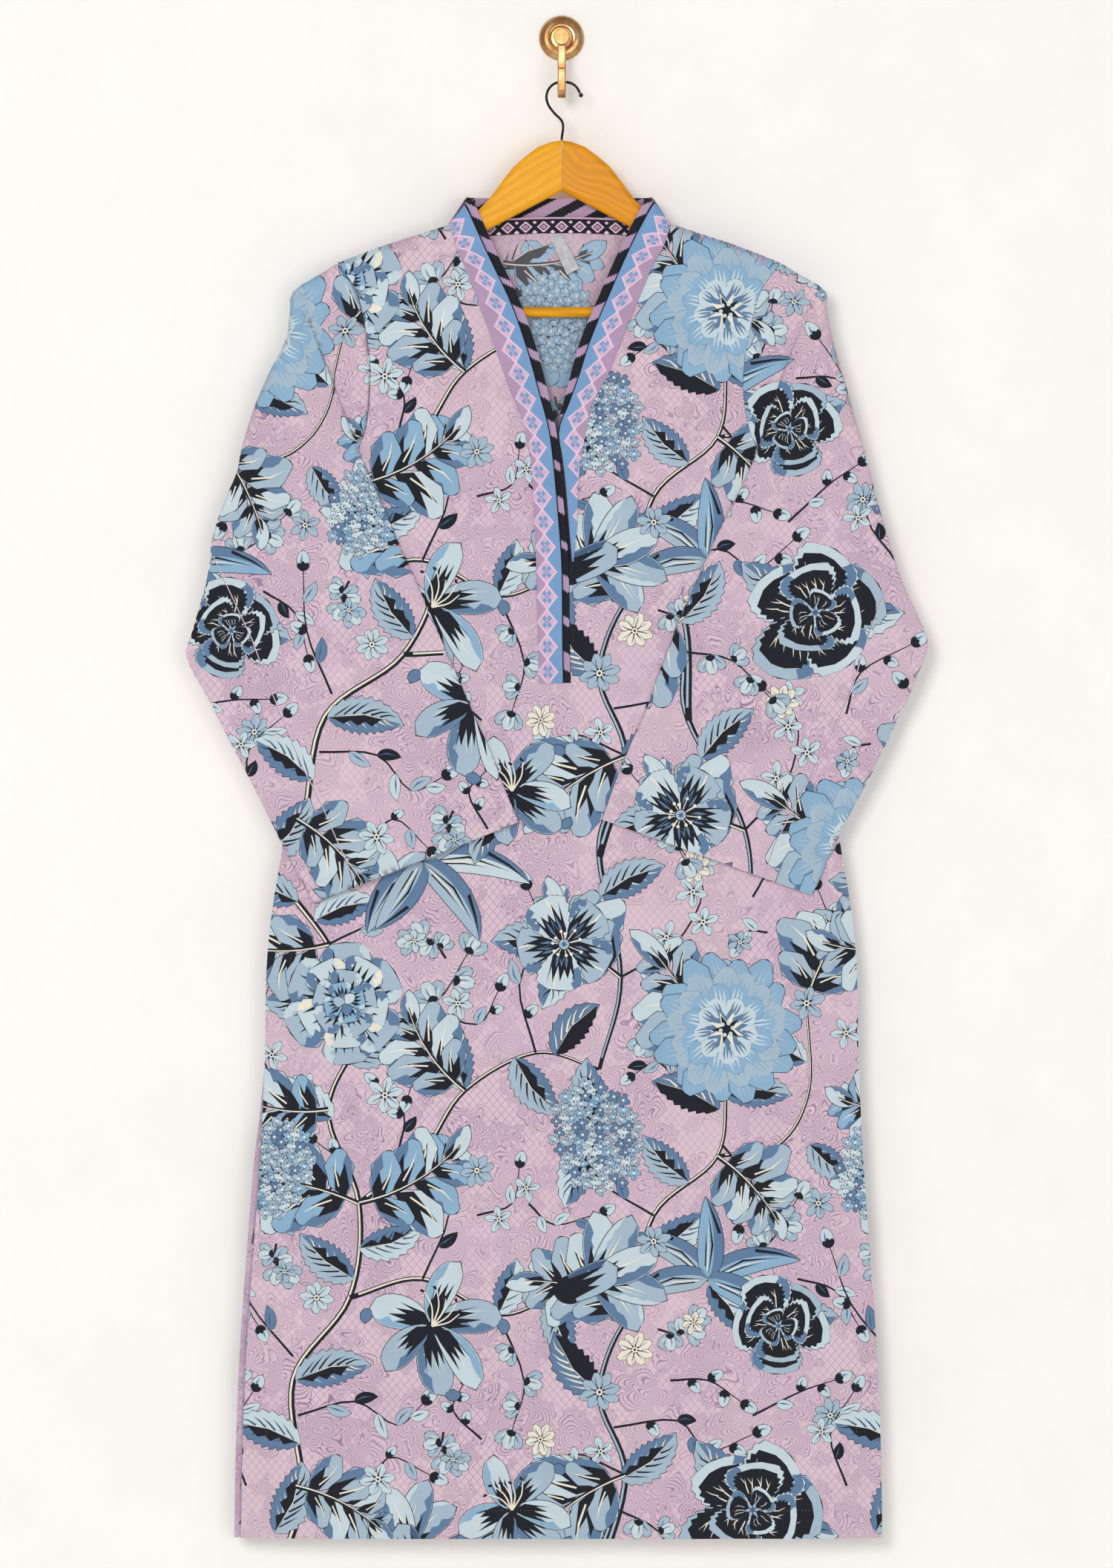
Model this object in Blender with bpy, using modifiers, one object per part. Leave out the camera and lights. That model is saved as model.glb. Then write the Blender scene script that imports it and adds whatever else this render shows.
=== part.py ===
"""A long kameez (tunic) hung flat on a wooden hanger, which hangs on a brass wall hook.

Metres, +Z up, +X to the viewer's right, the front faces -Y, the wall is the plane Y = 0.
The origin is the centre of the rosette's flat back face.
Tables are in millimetres: "drop" is measured down from DATUM and "out" is measured from the
garment's middle towards the sleeve, so the same table serves the left and the right side.
"""

import math

import bmesh
import bpy
import numpy as np
from mathutils import Matrix

MM = 0.001
DATUM = -4.0  # the height of drop 0, below the middle of the rosette
PLANE = -30.0  # the plane that the hanger and the garment hang in, in front of the wall

CLOTH = 1.0  # the wall of the printed cloth
TRIM = 0.8  # the wall of bands, strips and the label
GAP = 0.3  # between two pieces that are sewn or that touch
LENGTH_DROP = 1274.5  # the hem
UNDERARM_DROP = 387.0
SLEEVE_FREE_DROP = 255.0  # above it the hanger's arms fill out the cloth
SLIT_DROP = 740.0  # the side slits start here
PLACKET_DROP = 548.0

ROUND_OVER = 6.0  # how far below the shoulder line the cloth reaches its full depth

WOOD = 11.0
BAR_RADIUS = 4.4
WIRE_RADIUS = 1.1
ROSETTE_RADIUS = 19.2

# The silhouette's top line from the neck's tip to the shoulder's tip.
TOP_LINE = ((77.5, 134.8), (93.0, 158.8), (147.0, 176.0), (187.0, 191.0), (222.0, 210.0))

# drop, how far the garment's middle hangs off the hanger's middle
LEAN = ((130, -2.0), (190, -2.0), (300, -4.4), (400, -2.0), (700, 0.0), (1300, 0.0))

# drop, half width of the body: the armhole seam, then the side seam and the slit's edge
BODY_EDGE = (
    (191.5, 188.0), (213.6, 172.5), (234, 166.0), (254, 161.8), (287, 158.1), (315, 159.5),
    (342, 166.0), (360, 178.0), (373, 196.0), (382, 215.0), (387, 230.0), (430, 231.0),
    (535, 233.0), (693, 238.0), (725, 243.5), (762, 248.5), (876, 252.5), (951, 256.0),
    (1027, 261.5), (1103, 267.0), (1178, 270.5), (LENGTH_DROP, 272.5),
)

# The drops of the rows that the panels and the sleeves share along the armhole, close together
# over the shoulder.
ARM_ROWS = (191.5, 192.0, 193.0, 195.0, 198.0, 203.0, 213.0, 222.0, 232.0, 242.0, 253.0, 268.0,
            283.0, 298.0, 313.0, 328.0, 341.0, 353.0, 364.0, 374.0, 382.0, UNDERARM_DROP)

# drop, half depth of the cloth at the middle of the body
BODY_DEPTH = ((130, 7.8), (260, 7.8), (400, 8.0), (700, 7.0), (1000, 6.0), (LENGTH_DROP, 5.0))

# x, width, drop where the fold starts, depth at the hem: soft folds that run down to the hem
FRONT_FOLDS = ((-205, 26, 900, 2.2), (-120, 34, 960, 1.6), (-20, 40, 1040, 1.4), (95, 36, 930, 2.0),
               (200, 30, 980, 1.8))
BACK_FOLDS = ((-185, 32, 930, 1.8), (-60, 40, 900, 1.8), (70, 38, 1010, 1.4), (190, 30, 900, 2.0))

# drop, x of the band's inner edge and of its outer edge
BAND_LEFT = (
    (141.8, -80.6, -93.9), (180.8, -63.6, -86.6), (229.3, -41.0, -69.0), (264, -29.0, -56.5),
    (300, -19.0, -43.5), (334.5, -10.0, -30.0), (363.5, -6.3, -25.8), (400, -3.0, -23.6),
    (437, 0.0, -22.0), (511, 1.3, -20.0), (PLACKET_DROP, 1.9, -19.2),
)
BAND_RIGHT = (
    (140.0, 76.9, 91.4), (168, 62.4, 86.0), (215.5, 41.0, 68.0), (262, 22.0, 48.5),
    (287, 14.2, 39.0), (311, 5.5, 25.8), (334.5, -3.2, 20.5), (354, -0.6, 17.0),
    (374, 1.9, 14.6), (419, 5.7, 12.6), (445, 8.0, 10.0),
)
# drop, width of the rolled strip that shows inside the neck's edge
ROLL_LEFT = ((141.8, 7.0), (229, 7.5), (300, 7.0), (334.5, 5.5), (437, 5.2), (PLACKET_DROP, 5.5))
ROLL_RIGHT = ((140.0, 7.0), (215, 7.5), (290, 6.5), (322, 3.0))

ROLL_TUCK = 0.9  # how far the rolled strip goes in under the band

NECK_SEAM_DROP = 153.0  # the back neck's seam at the middle
STAND_TOP = 134.8
NECK_STRIP = (151.4, 165.0)  # the woven strip inside the back neck, top and bottom

LABEL_WIDTH = 12.0
LABEL_LENGTH = 36.0
LABEL_TILT = 26.0  # degrees
LABEL_X = -6.0

# Each row is a section of a sleeve: the drop at the armhole, the inner fold's out and drop, the
# outer fold's out and drop, how far the fold stands off, and the fullness.
SLEEVE_COLUMNS = ("arm", "in_out", "in_drop", "out_out", "out_drop", "lap", "full")
SLEEVE_LEFT = (
    (192.5, 190.0, 192.6, 191.6, 193.0, 0.0, 0.0),
    (200, 197.0, 200.0, 203.8, 200.5, 0.0, 0.0),
    (213, 220.0, 213.5, 226.0, 214.0, 0.2, 0.0),
    (232, 216.5, 232.5, 230.6, 233.0, 1.6, 0.0),
    (252, 210.4, 252.0, 232.5, 252.0, 2.8, 0.2),
    (283, 198.0, 283.5, 247.6, 283.5, 3.8, 0.6),
    (313, 186.5, 315.0, 260.8, 314.0, 4.0, 1.2),
    (341, 175.0, 346.0, 270.9, 346.5, 3.8, 2.0),
    (371, 163.0, 373.0, 276.6, 372.0, 3.2, 2.8),
    (387, 155.6, 389.0, 284.0, 389.0, 2.8, 3.4),
    (422, 141.8, 422.0, 295.5, 422.0, 2.6, 4.2),
    (461, 124.0, 461.0, 301.0, 460.0, 2.6, 4.6),
    (500, 106.0, 503.0, 312.0, 500.0, 2.6, 4.6),
    (528, 95.0, 528.0, 318.0, 528.0, 2.6, 4.6),
    (550, 86.0, 549.0, 303.0, 556.0, 2.6, 4.6),
    (585, 73.7, 578.0, 282.0, 596.6, 2.6, 4.6),
    (622, 59.9, 608.0, 260.0, 638.8, 2.6, 4.6),
    (660, 47.9, 640.0, 238.8, 681.7, 2.6, 4.6),
    (700, 36.5, 667.0, 210.0, 735.0, 2.6, 4.6),
)
SLEEVE_RIGHT = (
    (192.5, 186.0, 192.6, 187.6, 193.0, 0.0, 0.0),
    (200, 193.0, 200.0, 199.8, 200.5, 0.0, 0.0),
    (211, 214.0, 211.5, 220.8, 212.5, 0.2, 0.0),
    (230, 209.5, 230.5, 225.0, 231.0, 1.6, 0.0),
    (252, 201.3, 252.0, 229.0, 252.0, 2.8, 0.2),
    (283, 188.9, 283.5, 237.5, 283.5, 3.8, 0.6),
    (313, 177.9, 315.0, 246.6, 315.0, 4.0, 1.2),
    (341, 168.6, 346.0, 255.6, 347.0, 3.8, 2.0),
    (371, 156.9, 373.0, 262.4, 373.0, 3.2, 2.8),
    (387, 149.6, 389.0, 266.5, 389.0, 2.8, 3.4),
    (422, 132.3, 422.0, 275.9, 422.0, 2.6, 4.2),
    (461, 114.9, 461.0, 287.9, 460.0, 2.6, 4.6),
    (495, 99.0, 497.0, 303.0, 493.0, 2.6, 4.6),
    (514, 92.6, 515.3, 310.6, 512.0, 2.6, 4.6),
    (542, 82.0, 542.0, 301.0, 544.0, 2.6, 4.6),
    (574, 72.5, 569.5, 284.8, 580.0, 2.6, 4.6),
    (614, 58.6, 601.0, 261.5, 627.5, 2.6, 4.6),
    (650, 47.3, 628.7, 238.8, 670.0, 2.6, 4.6),
    (695, 34.7, 664.7, 212.5, 728.0, 2.6, 4.6),
)

# out, drop round one arm of the hanger, from the crown along the top and back below
ARM_TOP = ((GAP / 2, 87), (9, 88.4), (20, 92.6), (31, 100.8), (41.6, 110), (52.3, 124), (61.7, 137),
           (72, 147.5), (92, 163.4), (147, 178.7), (187, 194.2), (207, 207.2))
ARM_END = ((213, 216), (212, 232), (202, 243), (173, 243))
ARM_UNDER = ((173, 222), (160, 212), (130, 197.5), (66, 165), (GAP / 2, 130))
ARM_SEAT_LEFT = 1.9  # how much higher an arm's top lies outside the neck, so that it meets the cloth
ARM_SEAT_RIGHT = 0.5
BAR_DROP = 233.0
BAR_HALF = 173.0

# x, drop along the steel hook, from the wood up and round to its tip
WIRE_ROUTE = ((0, 86.7), (0.4, 71), (-7, 63), (-11.7, 56), (-13, 50.5), (-11.7, 44.5), (-7.6, 39.6),
              (-2.5, 37.4), (3.2, 37.3), (9.2, 38.9), (13.2, 42.4), (15.4, 46.6))
WIRE_TIP = (16.4, 48.5)
WIRE_TIP_RADIUS = 1.9


def mix(a, b, share):
    return a + (b - a) * share


def ease(share):
    share = min(max(share, 0.0), 1.0)
    return share * share * (3.0 - 2.0 * share)


def read(table, at, column=1):
    """A column of a table at a value of its first column, on a smooth curve through the rows."""
    keys = [row[0] for row in table]
    values = [row[column] for row in table]
    if at <= keys[0]:
        return values[0]
    if at >= keys[-1]:
        return values[-1]
    i = int(np.searchsorted(keys, at, side="right")) - 1
    slopes = np.gradient(values, keys)
    width = keys[i + 1] - keys[i]
    t = (at - keys[i]) / width
    return float(
        values[i] * (1 + 2 * t) * (1 - t) ** 2 + values[i + 1] * t * t * (3 - 2 * t)
        + slopes[i] * width * t * (1 - t) ** 2 - slopes[i + 1] * width * t * t * (1 - t)
    )


def read_straight(table, at, column=1):
    return float(np.interp(at, [row[0] for row in table], [row[column] for row in table]))


def lean(drop):
    return read_straight(LEAN, drop)


def below_top_line(out, drop):
    """The distance from the silhouette's top line."""
    nearest = 1e9
    for (a0, d0), (a1, d1) in zip(TOP_LINE, TOP_LINE[1:]):
        along = ((out - a0) * (a1 - a0) + (drop - d0) * (d1 - d0)) / ((a1 - a0) ** 2 + (d1 - d0) ** 2)
        along = min(max(along, 0.0), 1.0)
        nearest = min(nearest, math.hypot(out - mix(a0, a1, along), drop - mix(d0, d1, along)))
    return nearest


def dome(share):
    """0 at an edge and 1 from share 1 on, with a quarter of an ellipse between."""
    share = min(max(share, 0.0), 1.0)
    return math.sqrt(1.0 - (1.0 - share) ** 2)


def depth(x, drop, folds):
    """How far a body panel's middle surface stands off the plane that the garment hangs in."""
    out = abs(x - lean(drop))
    half = read(BODY_EDGE, max(drop, UNDERARM_DROP))
    swell = max(0.0, 1.0 - (out / half) ** 4)
    swell = mix(1.0, swell, ease((drop - SLEEVE_FREE_DROP) / (UNDERARM_DROP - SLEEVE_FREE_DROP)))
    full = read_straight(BODY_DEPTH, drop) * swell
    edge = (CLOTH + GAP) / 2 + 1.2 * ease((drop - SLIT_DROP) / 200.0)
    for at, width, start, height in folds:
        full += height * math.exp(-(((x - at) / width) ** 2)) * ease((drop - start) / (LENGTH_DROP - start))
    return GAP / 2 + dome(below_top_line(out, drop) / ROUND_OVER) * (edge - GAP / 2 + full)


def front_depth(x, drop):
    return depth(x, drop, FRONT_FOLDS)


def back_depth(x, drop):
    return depth(x, drop, BACK_FOLDS)


def place(x, y, drop):
    return (x * MM, y * MM, (DATUM - drop) * MM)


def on_panel(x, drop, side, lift=0.0):
    """A point of the front (side -1) or back (side +1) panel, moved out by lift along its normal."""
    surface = front_depth if side < 0 else back_depth
    off = surface(x, drop)
    if not lift:
        return place(x, PLANE + side * off, drop)
    step = 0.25
    by_x = (surface(x + step, drop) - surface(x - step, drop)) / (2 * step)
    by_drop = (surface(x, drop + step) - surface(x, drop - step)) / (2 * step)
    size = math.sqrt(1 + by_x * by_x + by_drop * by_drop)
    return place(
        x - lift * by_x / size, PLANE + side * (off + lift / size), drop - lift * by_drop / size
    )


def clear_scene():
    for obj in list(bpy.data.objects):
        bpy.data.objects.remove(obj, do_unlink=True)


def material(name, colour, roughness, metallic=0.0):
    made = bpy.data.materials.new(name)
    made.use_nodes = True
    shader = made.node_tree.nodes["Principled BSDF"]
    shader.inputs["Base Color"].default_value = (*colour, 1.0)
    shader.inputs["Roughness"].default_value = roughness
    shader.inputs["Metallic"].default_value = metallic
    return made


def add_object(name, mesh, finish, collection):
    obj = bpy.data.objects.new(name, mesh)
    mesh.materials.append(finish)
    collection.objects.link(obj)
    return obj


def thicken(obj, wall):
    solid = obj.modifiers.new("wall", "SOLIDIFY")
    solid.thickness = wall * MM
    solid.offset = 0.0
    solid.use_rim = True


def add_sheet(name, rows, wall, finish, collection, keep=None, joined=None):
    """A wall through a grid of points. keep says which cells are cloth, and joined says in which
    rows the last column is the first one, as in a tube."""
    mesh = bpy.data.meshes.new(name)
    shape = bmesh.new()
    last = len(rows[0]) - 1
    grid = []
    for r, row in enumerate(rows):
        line = [shape.verts.new(point) for point in row[:last]]
        line.append(line[0] if joined and joined(r) else shape.verts.new(row[last]))
        grid.append(line)
    for r in range(len(rows) - 1):
        for c in range(last):
            if keep and not keep(r, c):
                continue
            shape.faces.new((grid[r][c], grid[r][c + 1], grid[r + 1][c + 1], grid[r + 1][c]))
    bmesh.ops.delete(shape, geom=[v for v in shape.verts if not v.link_faces], context="VERTS")
    bmesh.ops.recalc_face_normals(shape, faces=shape.faces)
    shape.to_mesh(mesh)
    shape.free()
    mesh.shade_smooth()
    obj = add_object(name, mesh, finish, collection)
    thicken(obj, wall)
    return obj


def panel_rows():
    """The drops of a body panel's rows at its side edge."""
    side = list(np.linspace(UNDERARM_DROP + 34.0, SLIT_DROP, 8))
    skirt = list(np.linspace(SLIT_DROP + 42.0, LENGTH_DROP, 11))
    return list(ARM_ROWS) + side + skirt


def row_drop(edge_drop, top_here):
    """The drop of a panel's row away from its edge: the first row follows the top edge, and the
    rows are level from the underarm down."""
    start = BODY_EDGE[0][0]
    level = ease((edge_drop - start) / (UNDERARM_DROP - start))
    return edge_drop + (top_here - start) * (1.0 - level)


def top_edge(out, neck):
    """The panels' top edge: the shoulder seam, and inside it a neck seam."""
    shoulder = TOP_LINE[1]
    if out >= shoulder[0]:
        return read_straight(TOP_LINE, out)
    return mix(neck, shoulder[1], (out / shoulder[0]) ** 2)


def front_edge_inside(side, drop):
    """x of the front panel's edge along the neck and the placket."""
    inner = read(BAND_LEFT, drop, 1)
    tuck = ROLL_TUCK + 2 * GAP
    if side < 0:
        return inner - tuck - 14.0 * (1.0 - ease((drop - 158.0) / 60.0))
    beside_roll = inner + read(ROLL_LEFT, drop) + GAP + 0.1
    if drop > BAND_RIGHT[-1][0]:
        return beside_roll
    return max(read(BAND_RIGHT, drop, 1) + tuck + 14.0 * (1.0 - ease((drop - 158.0) / 60.0)), beside_roll)


def columns(count):
    """Shares from 0 at the side edge to 1 at the middle, closer together at the side."""
    return [1.0 - math.cos(0.5 * math.pi * i / count) ** 1.25 for i in range(count + 1)]


def build_front(finish, collection):
    rows = []
    shares = columns(8)
    neck = TOP_LINE[1]
    tops = {}
    for side in (-1, 1):
        reach = side * front_edge_inside(side, neck[1])
        tops[side] = [top_edge(mix(BODY_EDGE[0][1], reach, share), neck[1]) for share in shares]
    for edge_drop in panel_rows():
        row = []
        for side in (-1, 1):
            edge = lean(edge_drop) + side * read(BODY_EDGE, edge_drop)
            inner_drop = row_drop(edge_drop, neck[1])
            inner = front_edge_inside(side, inner_drop)
            half = []
            for share in shares:
                x = mix(edge, inner, share)
                half.append(on_panel(x, row_drop(edge_drop, tops[side][len(half)]), -1))
            row += half if side < 0 else half[::-1]
        rows.append(row)
    drops = panel_rows()
    middle = len(shares) - 1
    return add_sheet(
        "body_front", rows, CLOTH, finish, collection,
        keep=lambda r, c: c != middle or drops[r] >= PLACKET_DROP + GAP,
    )


def build_back(finish, collection):
    rows = []
    shares = columns(9)
    tops = [top_edge(mix(BODY_EDGE[0][1], 0.0, share), NECK_SEAM_DROP) for share in shares]
    tops += tops[-2::-1]
    for edge_drop in panel_rows():
        wider = 6.0 * ease((edge_drop - 860.0) / 120.0)
        left = lean(edge_drop) - read(BODY_EDGE, edge_drop) - wider
        right = lean(edge_drop) + read(BODY_EDGE, edge_drop)
        centre = lean(edge_drop)
        line = [mix(left, centre, share) for share in shares]
        line += [mix(right, centre, share) for share in shares[-2::-1]]
        rows.append([on_panel(x, row_drop(edge_drop, top), 1) for x, top in zip(line, tops)])
    return add_sheet("body_back", rows, CLOTH, finish, collection)


def sleeve_row(table, arm_drop):
    return {name: read(table, arm_drop, i) for i, name in enumerate(SLEEVE_COLUMNS)}


def seam_point(side, drop, off):
    """A point of the armhole's seam, moved off the body's edge, square to the seam."""
    slope = (read(BODY_EDGE, drop) - read(BODY_EDGE, drop - 1.0)) if drop > BODY_EDGE[0][0] + 1.0 else 0.0
    size = math.hypot(1.0, slope)
    return read(BODY_EDGE, drop) + side * lean(drop) + off / size, drop - off * slope / size


def sleeve_ring(side, row):
    """One section of a sleeve: from the armhole's front under the front fold, over it, out to the
    outer fold and behind back to the armhole. Below the underarm it closes on itself."""
    arm_drop = min(row["arm"], UNDERARM_DROP)
    fold = (row["in_out"], row["in_drop"])
    outer = (row["out_out"], row["out_drop"])
    open_row = row["arm"] < UNDERARM_DROP - 0.5
    seam = read(BODY_EDGE, arm_drop) + side * lean(arm_drop)
    over = ease((seam + 12.0 - fold[0]) / 6.0)
    in_front = ease((row["arm"] - UNDERARM_DROP) / 30.0)
    past = ease((row["arm"] - 560.0) / 100.0)
    start = seam_point(side, arm_drop, GAP + over * CLOTH / 2)
    if not open_row:
        beside = read(BODY_EDGE, row["arm"]) + side * lean(row["arm"]) + GAP + CLOTH / 2
        share = mix((beside - fold[0]) / (outer[0] - fold[0]), 0.5, past)
        corner_drop = row["arm"] - 1.6
        start = (mix(fold[0], outer[0], share), mix(corner_drop, mix(fold[1], outer[1], share), in_front))
    climb = over * (CLOTH + GAP + 0.4)
    hold = over * (1.0 - in_front)

    def front_level(out, drop):
        return PLANE - front_depth(side * out, drop)

    def level_below(out, drop):
        return front_level(out, drop) - climb

    def level_front(out, drop):
        share = (out - fold[0]) / (outer[0] - fold[0])
        swell = math.sin(math.pi * min(max(share, 0.0), 1.0)) ** 0.8
        return level_below(out, drop) - row["lap"] - row["full"] * swell

    def level_behind(out, drop):
        behind = PLANE + back_depth(side * out, drop)
        return mix(behind, level_below(out, drop), in_front)

    nose = mix(ROUND_OVER, 1.3, ease((row["arm"] - 260.0) / 110.0))
    nose = min(nose, 0.45 * (outer[0] - fold[0]))
    turn = min(1.2, 0.3 * (outer[0] - fold[0]))
    lap_side = min(max((start[0] - fold[0]) / 4.0, -1.0), 1.0)
    ring = []

    def add(out, drop, y):
        ring.append(place(side * out, y, drop))

    # under the fold
    corner = fold[0] + lap_side * turn
    first = (start[0], start[1])
    add(*first, front_level(*first) if open_row else mix(front_level(*first), level_below(*first), in_front))
    for share in (0.12, 0.34, 0.56, 0.78):
        out = mix(first[0], corner, share * (1.0 - hold * (share < 0.2)))
        drop = mix(first[1], fold[1], share)
        add(out, drop, level_below(out, drop))
    # round the fold
    for angle in (-90, -45, 0, 45, 90):
        swing = turn * (1.0 - math.cos(math.radians(angle)))
        out = fold[0] + (swing * lap_side if angle < 0 else swing)
        low, high = level_below(fold[0] + turn, fold[1]), level_front(fold[0] + turn, fold[1])
        add(out, fold[1], mix(low, high, 0.5 + 0.5 * math.sin(math.radians(angle))))
    # the front layer
    front_start = fold[0] + turn
    front_end = outer[0] - nose
    middle_y = (level_front(front_end, outer[1]) + level_behind(front_end, outer[1])) / 2
    for share in (0.12, 0.28, 0.45, 0.62, 0.8, 1.0):
        out = mix(front_start, front_end, share)
        drop = mix(fold[1], outer[1], share)
        add(out, drop, level_front(out, drop))
    # round the outer fold
    for layer, distances in ((level_front, (0.5, 0.18, 0.03)), (None, (0.0,)), (level_behind, (0.03, 0.18, 0.5))):
        for distance in distances:
            out = outer[0] - nose * distance
            y = mix(middle_y, layer(front_end, outer[1]), dome(distance)) if layer else middle_y
            add(out, outer[1], y)
    # the back layer
    for share in (0.0, 0.25, 0.5, 0.75, 1.0):
        end = seam_point(side, arm_drop, GAP) if open_row else start
        out = mix(front_end, end[0], share)
        drop = mix(outer[1], end[1], share)
        add(out, drop, level_behind(out, drop))
    return ring


def build_sleeve(name, side, table, finish, collection):
    lower = [row[0] for row in table if row[0] > UNDERARM_DROP]
    below = [UNDERARM_DROP + 10.0, UNDERARM_DROP + 20.0, UNDERARM_DROP + 30.0] + lower[1:]
    sections = [sleeve_row(table, arm_drop) for arm_drop in list(ARM_ROWS[2:]) + below]
    rows = [sleeve_ring(side, section) for section in sections]
    closed = [section["arm"] >= UNDERARM_DROP - 0.5 for section in sections]
    return add_sheet(name, rows, CLOTH, finish, collection, joined=lambda r: closed[r])


def strip_drops(start, end, dense):
    """Rows of a strip, a few of them close together where it bends over the shoulder."""
    near = [start + d for d in (0.0, 0.6, 1.8, 4.0, 8.0)] if dense else [start]
    return near + list(np.linspace(near[-1] + 14.0, end, 18 if dense else 8))


def build_band(name, table, finish, collection):
    """The border that lies on the front along the neck. Its top end lies on the neck's slope."""
    lift = CLOTH / 2 + GAP + TRIM / 2 + 0.3
    side = -1 if table[0][1] < 0 else 1
    rows = []
    for drop in strip_drops(table[0][0], table[-1][0], True):
        inner, outer = read(table, drop, 1), read(table, drop, 2)
        tilt = (TOP_LINE[1][1] - table[0][0]) * (1.0 - ease((drop - table[0][0]) / 60.0))
        row = []
        for share in (0.0, 0.25, 0.5, 0.75, 1.0):
            x = mix(outer, inner, share)
            here = drop + tilt * (1.0 - share) + 0.5
            row.append(on_panel(x, here, -1, lift))
        rows.append(row if side < 0 else row[::-1])
    return add_sheet(name, rows, TRIM, finish, collection)


def build_roll(name, band, widths, finish, collection):
    """The rolled strip inside the neck's edge, in the front panel's own plane."""
    side = -1 if band[0][1] < 0 else 1
    rows = []
    for drop in strip_drops(widths[0][0] - 3.0, widths[-1][0], True):
        edge = read(band, drop, 1) - side * 0.3 * max(0.0, band[0][0] - drop)
        width = read(widths, drop)
        rows.append([
            on_panel(edge + side * mix(ROLL_TUCK, -width, share), drop, -1) for share in (0.0, 0.5, 1.0)
        ])
    return add_sheet(name, rows, TRIM, finish, collection)


def build_stand(finish, collection):
    """The band's stretch that stands up behind the neck."""
    lift = CLOTH / 2 + GAP + TRIM / 2 + 0.3
    tip, corner = TOP_LINE[0], TOP_LINE[1]
    rows = []
    near = (0.0, 0.004, 0.012, 0.03, 0.06)
    across = list(near) + list(np.linspace(0.12, 0.88, 9)) + [1.0 - share for share in near[::-1]]
    for height in (0.0, 0.5, 1.0):
        row = []
        for share in across:
            arc = 1.0 - (2.0 * share - 1.0) ** 2
            low = mix(corner[1], NECK_SEAM_DROP + 2.0, min(1.0, 1.6 * arc))
            reach = mix(corner[0], tip[0], height) - 0.1
            drop = mix(low, STAND_TOP + 0.6 * arc, height)
            row.append(on_panel(lean(drop) + reach * (2.0 * share - 1.0), drop, 1, lift))
        rows.append(row)
    return add_sheet("neck_stand", rows, TRIM, finish, collection)


def build_neck_strip(finish, collection):
    """The woven strip sewn inside the back panel below the stand."""
    lift = -(CLOTH / 2 + GAP + TRIM / 2)
    rows = []
    for share in (0.0, 0.5, 1.0):
        row = []
        for x in np.linspace(-77.0, 77.0, 15):
            drop = mix(*NECK_STRIP, share) + 4.0 * (x / 80.0) ** 2
            row.append(on_panel(x, drop, 1, lift))
        rows.append(row)
    return add_sheet("neck_strip", rows, TRIM, finish, collection)


def build_label(finish, collection):
    """A blank folded label that hangs aslant from the strip."""
    width, length, tilt = LABEL_WIDTH, LABEL_LENGTH, math.radians(LABEL_TILT)
    top = (LABEL_X, NECK_STRIP[1] + 2 * GAP)
    rows = []
    for share in np.linspace(0.0, 1.0, 7):
        row = []
        for across in (-0.5, 0.0, 0.5):
            x = top[0] + width * across * math.cos(tilt) + length * share * math.sin(tilt)
            drop = top[1] - width * across * math.sin(tilt) * share + length * share * math.cos(tilt)
            lift = -(CLOTH / 2 + GAP + TRIM / 2 + 2.5 * ease(share * 1.4))
            row.append(on_panel(x, drop, 1, lift))
        rows.append(row)
    return add_sheet("neck_label", rows, TRIM, finish, collection)


def add_plate(name, outline, thickness, across, finish, collection, bevel, segments, joint=None):
    """A flat outline of (x, y) points, thickened and placed by across. Its edges are rounded on
    both faces, apart from the edge at x = joint, where it meets its neighbour."""
    mesh = bpy.data.meshes.new(name)
    shape = bmesh.new()
    bottom = [shape.verts.new((x * MM, y * MM, -thickness / 2 * MM)) for x, y in outline]
    face = shape.faces.new(bottom)
    raised = bmesh.ops.extrude_face_region(shape, geom=[face])["geom"]
    moved = [item for item in raised if isinstance(item, bmesh.types.BMVert)]
    bmesh.ops.translate(shape, verts=moved, vec=(0, 0, thickness * MM))
    bmesh.ops.recalc_face_normals(shape, faces=shape.faces)
    weight = shape.edges.layers.float.new("bevel_weight_edge")
    for edge in shape.edges:
        a, b = (v.co for v in edge.verts)
        at_joint = joint is not None and all(abs(abs(co.x) - joint * MM) < 1e-6 for co in (a, b))
        edge[weight] = 0.0 if at_joint or abs(a.z - b.z) > 1e-6 else 1.0
    shape.to_mesh(mesh)
    shape.free()
    obj = add_object(name, mesh, finish, collection)
    obj.matrix_world = across
    rounded = obj.modifiers.new("edges", "BEVEL")
    rounded.width = bevel * MM
    rounded.segments = segments
    rounded.limit_method = "WEIGHT"
    return obj


def arm_outline(side):
    seat = ARM_SEAT_LEFT if side < 0 else ARM_SEAT_RIGHT
    top = [(out, drop - seat * ease((out - 72.0) / 75.0)) for out, drop in ARM_TOP]
    points = top + list(ARM_END) + list(ARM_UNDER)
    return [(side * out, DATUM - drop) for out, drop in points]


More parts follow.
